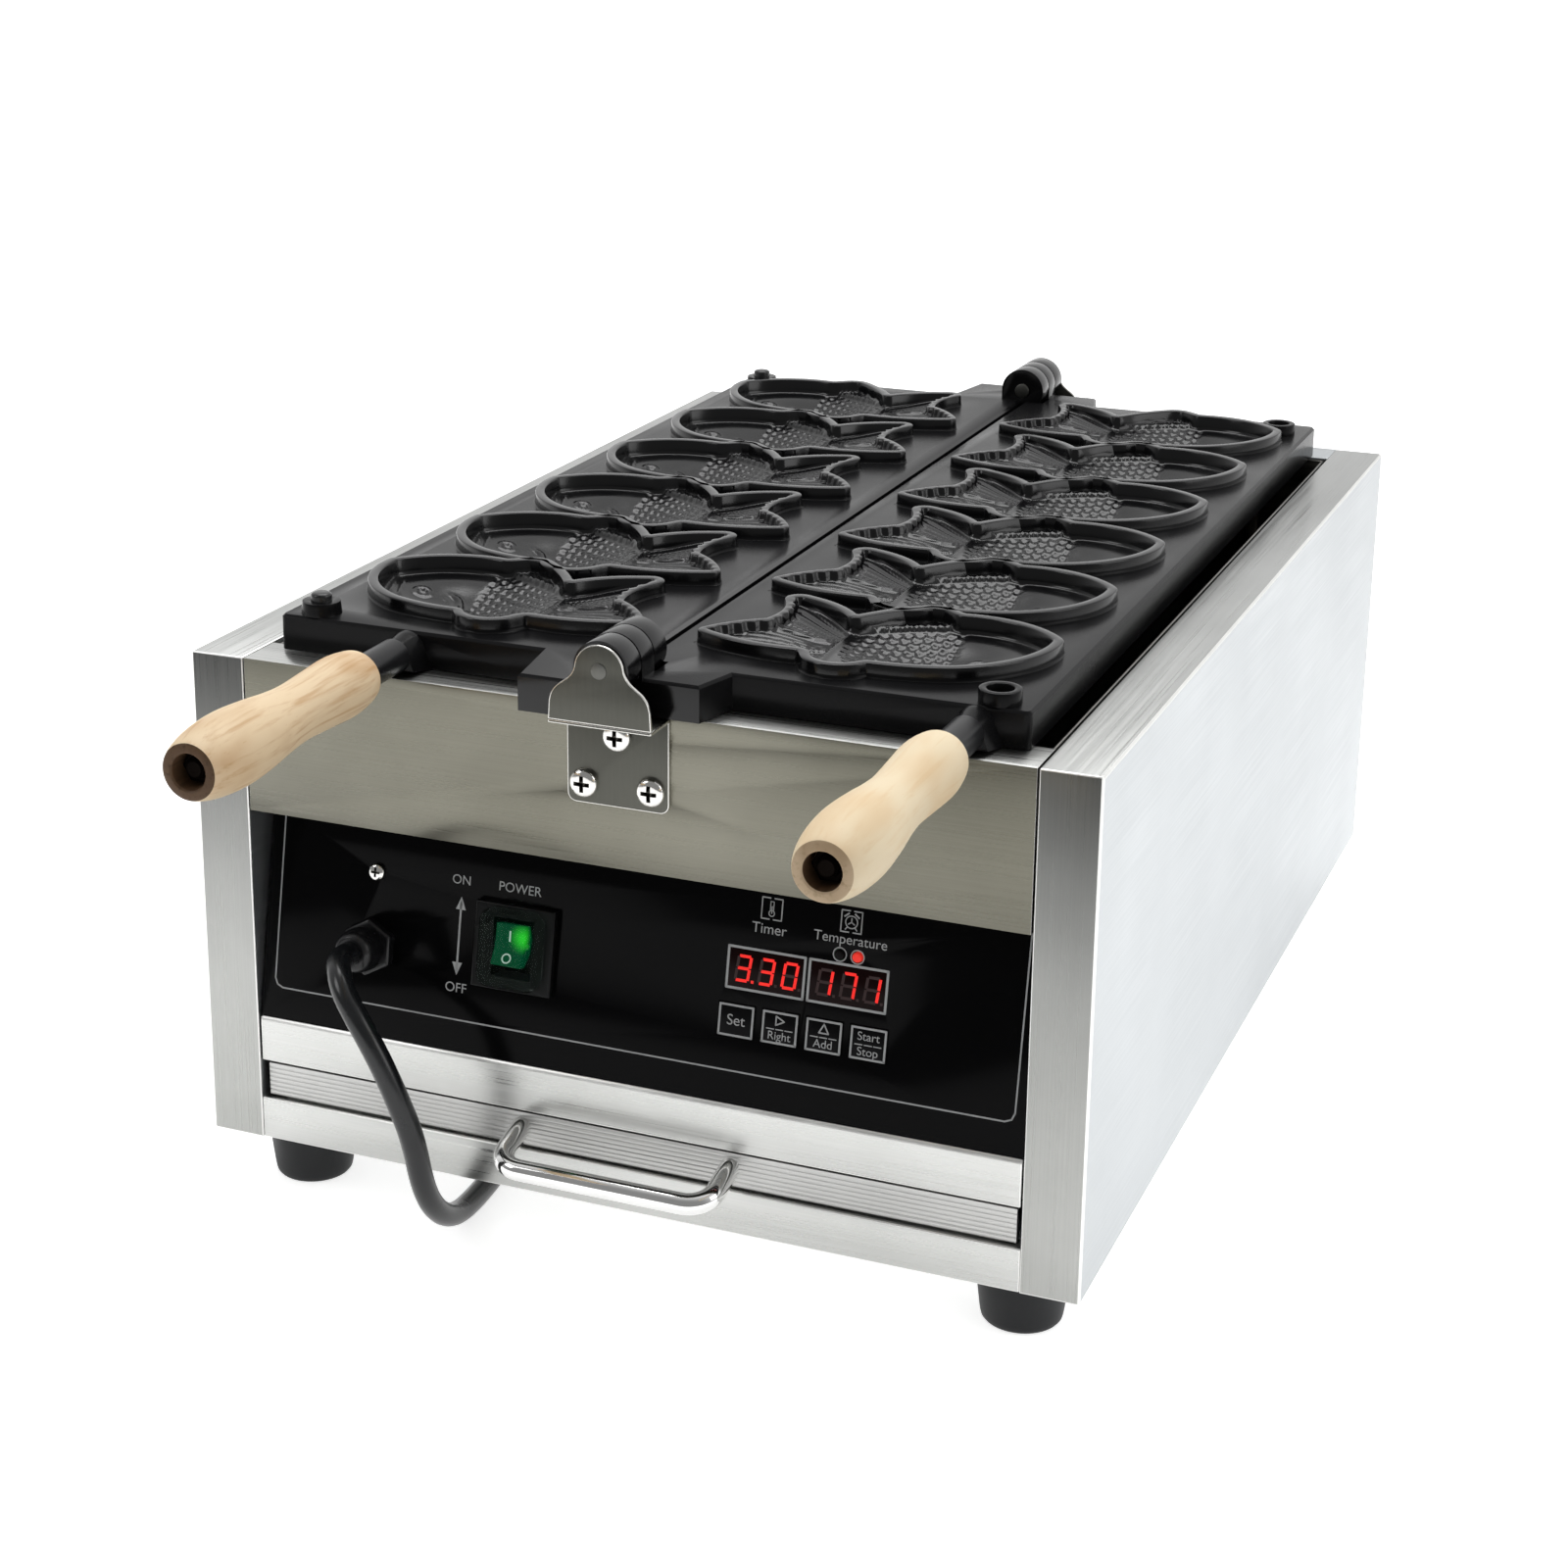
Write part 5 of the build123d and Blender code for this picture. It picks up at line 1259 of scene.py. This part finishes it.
def printed(marks, name, finish, node, frame_of, lift=PRINT_LIFT):
    """Printed strokes joined, laid on a surface and hung where node hangs."""
    sheet = joined(marks)
    sheet.data.transform(frame_of @ Matrix.Translation((0, 0, lift * MM)))
    return settle(sheet, name, finish, node, False)


# border, words by the switch and the double arrow between ON and OFF
EDGE_U = (-168.0, 169.0)
EDGE_V = (13.5, 92.0)
CORNER = 4.0
border = [
    (EDGE_U[0], EDGE_V[1]),
    (EDGE_U[0], EDGE_V[0] + CORNER),
    (EDGE_U[0] + 0.3 * CORNER, EDGE_V[0] + 0.3 * CORNER),
    (EDGE_U[0] + CORNER, EDGE_V[0]),
    (EDGE_U[1] - CORNER, EDGE_V[0]),
    (EDGE_U[1] - 0.3 * CORNER, EDGE_V[0] + 0.3 * CORNER),
    (EDGE_U[1], EDGE_V[0] + CORNER),
    (EDGE_U[1], EDGE_V[1]),
]
ARROW_U = -80.5
marks = stroke_line(border, 0.7)
marks += words("ON", -81.0, 73.9, 5.7) + words("OFF", -80.3, 27.2, 5.9) + words("POWER", -53.5, 74.0, 5.8)
marks += stroke_line([(ARROW_U, 35.0), (ARROW_U, 64.5)], 0.9)
for tip_v, way in ((66.8, 1), (32.8, -1)):
    bpy.ops.mesh.primitive_circle_add(vertices=3, radius=3.0 * MM, fill_type="NGON")
    tip = bpy.context.object
    tip.scale = (0.9, 1.25 * way, 1.0)
    tip.location = (ARROW_U * MM, (tip_v - way * 3.7) * MM, 0)
    bpy.ops.object.transform_apply(location=True, scale=True)
    marks.append(tip)

# frames round the displays, and a framed sign over each one
DISPLAYS = {"timer": 59.3, "temperature": 94.8}
DISPLAY_V = 56.8
DISPLAY_FRAME = (33.4, 17.2)
SIGN = 8.8
THERMOMETER = (59.8, 83.2)
CLOCK = (94.2, 83.2)
for display_u in DISPLAYS.values():
    marks += box_line(display_u, DISPLAY_V, *DISPLAY_FRAME, 1.05)
for sign_u, sign_v in (THERMOMETER, CLOCK):
    for side in (-1, 1):
        edge_u = sign_u + side * SIGN / 2
        bracket_line = [(sign_u + side * 0.9, sign_v - SIGN / 2), (edge_u, sign_v - SIGN / 2)]
        bracket_line += [(edge_u, sign_v + SIGN / 2), (sign_u + side * 0.9, sign_v + SIGN / 2)]
        marks += stroke_line(bracket_line, 0.55)
thermometer_u, thermometer_v = THERMOMETER
marks += circle_line(thermometer_u, thermometer_v - 1.9, 1.2, 0.45, 20)
tube = [(-0.7, -0.9), (-0.7, 3.0), (0.7, 3.0), (0.7, -0.9)]
marks += stroke_line([(thermometer_u + u, thermometer_v + v) for u, v in tube], 0.4)
marks += stroke_line([(thermometer_u, thermometer_v - 1.9), (thermometer_u, thermometer_v + 1.0)], 0.45)
clock_u, clock_v = CLOCK
marks += circle_line(clock_u, clock_v - 0.2, 2.55, 0.5, 28)
for angle in (90.0, 215.0, 325.0):
    hand_end = (clock_u + 1.6 * cos(radians(angle)), clock_v - 0.2 + 1.6 * sin(radians(angle)))
    marks += stroke_line([(clock_u, clock_v - 0.2), hand_end], 0.5)
BELL = ((1.3, 3.3), (3.1, 1.9))
LEG = ((1.7, -2.4), (2.5, -3.4))
for side in (-1, 1):
    for ends, thick in ((BELL, 0.7), (LEG, 0.5)):
        marks += stroke_line([(clock_u + side * u, clock_v + v) for u, v in ends], thick)
marks += words("Timer", 59.3, 74.6, 6.2) + words("Temperature", 94.4, 75.6, 5.9)
INDICATORS = {"power": 90.4, "heat": 98.0}
INDICATOR_V = 69.2
for indicator_u in INDICATORS.values():
    marks += circle_line(indicator_u, INDICATOR_V, 2.8, 0.5)
printed(marks, "panel_print", print_grey, "control_panel", panel_frame)

# dark red windows with slanted seven-segment digits that glow
window_dark = skin_finish(
    "window_dark", (0.0070, 0.0018, 0.0018), (0.0100, 0.0025, 0.0025), (0.14, 0.22), 0.02, 500.0, 12.0, 0.06
)


def glow_finish(name, dark, light, strength):
    """A moulded material that also gives out light of its own colour."""
    finish = skin_finish(name, dark, light, (0.3, 0.4), 0.05)
    principled(finish).inputs["Emission Strength"].default_value = strength
    skin = next(node for node in finish.node_tree.nodes if node.type == "GROUP")
    finish.node_tree.links.new(skin.outputs["Color"], principled(finish).inputs["Emission Color"])
    return finish


lit_red = glow_finish("lit_red", (0.75, 0.012, 0.010), (0.95, 0.030, 0.022), 0.68)
# the unlit segments also give out a faint light of their own, painted light
unlit_red_painted_glow = glow_finish("unlit_red_painted_glow", (0.016, 0.004, 0.004), (0.022, 0.006, 0.006), 0.25)
SEGMENTS = {
    "a": ((0.12, 2.0), (0.88, 2.0)),
    "b": ((1.0, 1.88), (1.0, 1.12)),
    "c": ((1.0, 0.88), (1.0, 0.12)),
    "d": ((0.12, 0.0), (0.88, 0.0)),
    "e": ((0.0, 0.88), (0.0, 0.12)),
    "f": ((0.0, 1.88), (0.0, 1.12)),
    "g": ((0.12, 1.0), (0.88, 1.0)),
}
SHAPES = {"0": "abcdef", "1": "bc", "3": "abcdg", "7": "abc"}
DIGIT_WIDE = 5.4
DIGIT_PITCH = 10.2
DIGIT_HALF = 5.1
DIGIT_SLANT = 0.10
SEGMENT_THICK = 1.25
DOT = 1.2
for node, digits in (("timer", "330"), ("temperature", "171")):
    dressed(f"{node}_display", f"{node}_window", window_dark, 0.2)
    lit, unlit = [], []
    for place, digit in enumerate(digits):
        left = DISPLAYS[node] + (place - 1) * DIGIT_PITCH - DIGIT_WIDE / 2 + 0.4
        for segment, ends in SEGMENTS.items():
            spots = [
                (left + DIGIT_WIDE * (x + DIGIT_SLANT * (y - 1.0)), DISPLAY_V + DIGIT_HALF * (y - 1.0))
                for x, y in ends
            ]
            stroke = stroke_between(*spots, SEGMENT_THICK)
            (lit if segment in SHAPES[digit] else unlit).append(stroke)
        dot = bar(left + DIGIT_WIDE + 1.6, DISPLAY_V - DIGIT_HALF, DOT, DOT)
        (lit if (node, place) == ("timer", 0) else unlit).append(dot)
    printed(lit, f"{node}_digits", lit_red, f"{node}_display", panel_frame)
    printed(unlit, f"{node}_unlit", unlit_red_painted_glow, f"{node}_display", panel_frame)
lens_off = skin_finish(
    "lens_off", (0.003, 0.002, 0.002), (0.005, 0.004, 0.004), (0.2, 0.3), 0.05, 900.0, 30.0, 0.08
)
LENS_SHARE = Matrix.Diagonal((0.76, 0.76, 1.0, 1.0))
lens_glow = glow_finish("lens_glow", (0.70, 0.015, 0.010), (0.90, 0.05, 0.03), 0.5)
for indicator, finish in (("power", lens_off), ("heat", lens_glow)):
    lens = dressed(f"{indicator}_indicator", f"{indicator}_lens", finish, 0.4)
    lens_frame = panel_frame @ Matrix.Translation(Vector((INDICATORS[indicator], INDICATOR_V, 0)) * MM)
    lens.data.transform(lens_frame @ LENS_SHARE @ lens_frame.inverted())
board_green = skin_finish("board_green", (0.010, 0.10, 0.035), (0.020, 0.16, 0.06), (0.35, 0.5), 0.2)
dressed("controller_board", "circuit_board", board_green, 0.2)

# ---------------------------------------------------------------- keys
# Four low membrane keys of the same black film as the panel, each with a printed frame. Three have
# a dashed line across the middle, with an arrow or a word above it and a word below.
KEY_V = 34.8
KEY_FRAME = (14.5, 12.6)
KEY_UP = 0.9
KEYS = {"set": 48.4, "right": 67.6, "up": 86.7, "start": 105.9}
KEY_ARROWS = {
    "right": ((-1.7, 1.1), (-1.7, 4.9), (1.9, 3.0)),
    "up": ((-2.1, 1.2), (2.1, 1.2), (0.0, 5.0)),
}
KEY_WORDS = {
    "set": (("Set", 0.0, 6.4),),
    "right": (("Right", -3.4, 4.9),),
    "up": (("Add", -3.4, 5.0),),
    "start": (("Start", 2.8, 5.0), ("Stop", -3.5, 5.0)),
}
key_film = skin_finish(
    "key_film", (0.0025, 0.0025, 0.003), (0.004, 0.004, 0.0045), (0.22, 0.32), 0.06, 700.0, 30.0, 0.06
)
for key, key_u in KEYS.items():
    dressed(f"{key}_key", f"{key}_button", key_film, 0.35)
    marks = box_line(key_u, KEY_V, *KEY_FRAME, 0.9)
    if key != "set":
        marks += dashed_line((key_u - 6.0, KEY_V - 0.6), (key_u + 6.0, KEY_V - 0.6), 3, 0.45)
    if key in KEY_ARROWS:
        marks += stroke_line([(key_u + u, KEY_V + v) for u, v in KEY_ARROWS[key]], 0.6, True)
    for text, up, high in KEY_WORDS[key]:
        marks += words(text, key_u, KEY_V + up, high)
    printed(marks, f"{key}_print", print_grey, f"{key}_key", panel_frame, KEY_UP + PRINT_LIFT)

# ---------------------------------------------------------------- power switch
# Rocker switch, snapped into the panel by its square bezel, under a clear rubber boot that keeps
# batter out. The rocker is green plastic, lit from inside, with two white marks.
SWITCH_U, SWITCH_V = -53.5, 49.0
ROCKER_U, ROCKER_V = -55.2, 49.9
ROCKER_SHARE = Matrix.Diagonal((0.76, 0.75, 1.0, 1.0))
GLOW_REACH = 7.5
switch_plastic = skin_finish(
    "switch_plastic", (0.003, 0.0035, 0.0035), (0.0055, 0.006, 0.006), (0.26, 0.36), 0.12, 1300.0, 40.0, 0.12
)
dressed("switch_housing", "switch_bezel", switch_plastic, 0.8, 3)
boot_clear = skin_finish(
    "boot_rubber", (0.66, 0.76, 0.71), (0.74, 0.83, 0.78), (0.03, 0.06), 0.02, 500.0, 60.0, 0.3
)
principled(boot_clear).inputs["Transmission Weight"].default_value = 1.0
principled(boot_clear).inputs["IOR"].default_value = 1.07
dressed("switch_boot", "clear_boot", boot_clear, 0.5, 3)
rocker_green = skin_finish(
    "rocker_green", (0.001, 0.030, 0.012), (0.002, 0.055, 0.022), (0.12, 0.20), 0.05, 600.0, 90.0, 0.3
)
tree, rocker_shader = rocker_green.node_tree, principled(rocker_green)
here = add_node(tree, "TexCoord")["Object"]
from_lamp = {0: here, 1: on_panel(ROCKER_U + 6.0, ROCKER_V + 4.0, 3.0)}
from_lamp = add_node(tree, "VectorMath", from_lamp, operation="DISTANCE")["Value"]
glow = {"Value": from_lamp, "From Min": GLOW_REACH * MM, "From Max": 0.0}
glow = add_node(tree, "MapRange", glow, interpolation_type="SMOOTHSTEP")["Result"]
glow_tint = mixed(tree, glow, (0.0, 0.040, 0.016, 1.0), (0.03, 0.65, 0.03, 1.0))
tree.links.new(glow_tint, rocker_shader.inputs["Emission Color"])
rocker_shader.inputs["Emission Strength"].default_value = 1.0
lit_rocker = dressed("power_rocker", "lit_rocker", rocker_green, 0.7, 3)
switch_frame = panel_frame @ Matrix.Translation(Vector((SWITCH_U, SWITCH_V, 0)) * MM)
rocker_frame = panel_frame @ Matrix.Translation(Vector((ROCKER_U, ROCKER_V, 0)) * MM)
lit_rocker.data.transform(rocker_frame @ ROCKER_SHARE @ switch_frame.inverted())
mark_white = glow_finish("mark_white", (0.50, 0.60, 0.55), (0.60, 0.70, 0.65), 0.4)
for name, mark_v, marks in (
    ("on_mark", 4.2, [bar(0, 0, 0.8, 4.6)]),
    ("off_mark", -5.0, circle_line(0, 0, 1.9, 0.6)),
):
    _, spot, facing, _ = lit_rocker.ray_cast(on_panel(ROCKER_U, ROCKER_V + mark_v, 30.0), -panel_out)
    right = Vector((1, 0, 0))
    rocker_face = Matrix((right, facing.cross(right), facing)).transposed().to_4x4()
    printed(marks, name, mark_white, "power_rocker", Matrix.Translation(spot) @ rocker_face)

# ---------------------------------------------------------------- cable gland
# Black nylon gland with a hexagon foot and a domed nut that grips the lead. A second nut holds it
# behind the panel.
GLAND_U, GLAND_V = -122.0, 39.0
GLAND_HEX_R = 12.6
nylon = skin_finish(
    "nylon_black", (0.006, 0.006, 0.007), (0.011, 0.011, 0.012), (0.20, 0.30), 0.08, 1400.0, 50.0, 0.35
)
hex_profile = [(-6.0, 9.0), (0.0, 9.0), (0.01, GLAND_HEX_R), (4.2, GLAND_HEX_R)]
hex_profile += [(5.0, 0.93 * GLAND_HEX_R), (5.0, 3.0)]
dome_profile = [(4.0, 9.6), (12.2, 9.6), (13.0, 9.4), (15.2, 9.1), (17.0, 8.5), (18.3, 7.6), (19.0, 6.6)]
dome_profile += [(19.0, 5.05)]
gland_foot = turned(hex_profile, on_panel(GLAND_U, GLAND_V), panel_out, 6)
gland_dome = turned(dome_profile, on_panel(GLAND_U, GLAND_V), panel_out, 64)
gland = joined([gland_foot, gland_dome])
settle(smoothed(rounded(gland, 0.4, 2)), "lead_gland", nylon, "cable_gland")
dressed("gland_nut", "inner_nut", nylon, 0.4)

# ---------------------------------------------------------------- crumb tray
# Folded stainless drawer that slides on two runners under the heaters. Its front is a fine-grooved
# aluminium strip, with a chromed rod bent into a bow as its handle.
STRIP_Y = -216.0
GROOVE_LOW = 1.2
GROOVE_SHARE = 0.35
BOW_HALF = 48.0
BOW_Z = 56.5
BOW_BEND = 11.0
BOW_FROM = -214.0
BAR_Y = -242.0
BOW_DROOP = 14.0
tray_metal = brushed_finish(
    "tray_metal", (0.33, 0.33, 0.32), (0.47, 0.47, 0.46), (9.0, 600.0, 600.0), (0.30, 0.42)
)
strip_metal = brushed_finish(
    "strip_metal", (0.38, 0.38, 0.37), (0.56, 0.56, 0.55), (7.0, 500.0, 1600.0), (0.28, 0.42)
)
chrome = metal_finish("bow_chrome", (0.90, 0.90, 0.89), (0.05, 0.10))
dressed("crumb_tray", "drawer_pan", tray_metal, 0.4)
strip = dressed("tray_front", "grooved_strip", strip_metal, 0.15)
for vertex in strip.data.vertices:
    depth = vertex.co.y - STRIP_Y * MM
    if depth < GROOVE_LOW * MM:
        vertex.co.y = STRIP_Y * MM + GROOVE_SHARE * depth


def bent_rod(radius, start, moves, sides=28):
    """A rod that starts towards the front: drawn out by runs (x, y, z) and by bends (centre, degrees)."""
    deselect_all()
    foot, upright = Vector(start) * MM, (pi / 2, 0, 0)
    bpy.ops.mesh.primitive_circle_add(
        vertices=sides, radius=radius * MM, fill_type="NGON", location=foot, rotation=upright
    )
    rod = bpy.context.object
    bpy.ops.object.transform_apply(location=True, rotation=True)
    edit_whole()
    for move in moves:
        if len(move) == 3:
            bpy.ops.mesh.extrude_region_move(TRANSFORM_OT_translate={"value": Vector(move) * MM})
        else:
            middle, turn = move
            bpy.ops.mesh.spin(steps=14, angle=-radians(turn), center=Vector(middle) * MM, axis=(0, 0, 1))
    faces_outwards()
    return smoothed(rod)


arm = BOW_FROM - BAR_Y - BOW_BEND
bow_moves = [
    (0, -arm, 0),
    ((BOW_BEND - BOW_HALF, BAR_Y + BOW_BEND, BOW_Z), 90.0),
    (2 * (BOW_HALF - BOW_BEND), 0, 0),
    ((BOW_HALF - BOW_BEND, BAR_Y + BOW_BEND, BOW_Z), 90.0),
    (0, arm, 0),
]
bow = bent_rod(4.5, (-BOW_HALF, BOW_FROM, BOW_Z), bow_moves)
bow_seat = Matrix.Translation(Vector((0, STRIP_Y, BOW_Z)) * MM)
bow.data.transform(bow_seat @ Matrix.Rotation(radians(BOW_DROOP), 4, "X") @ bow_seat.inverted())
settle(bow, "drawer_bow", chrome, "tray_handle")
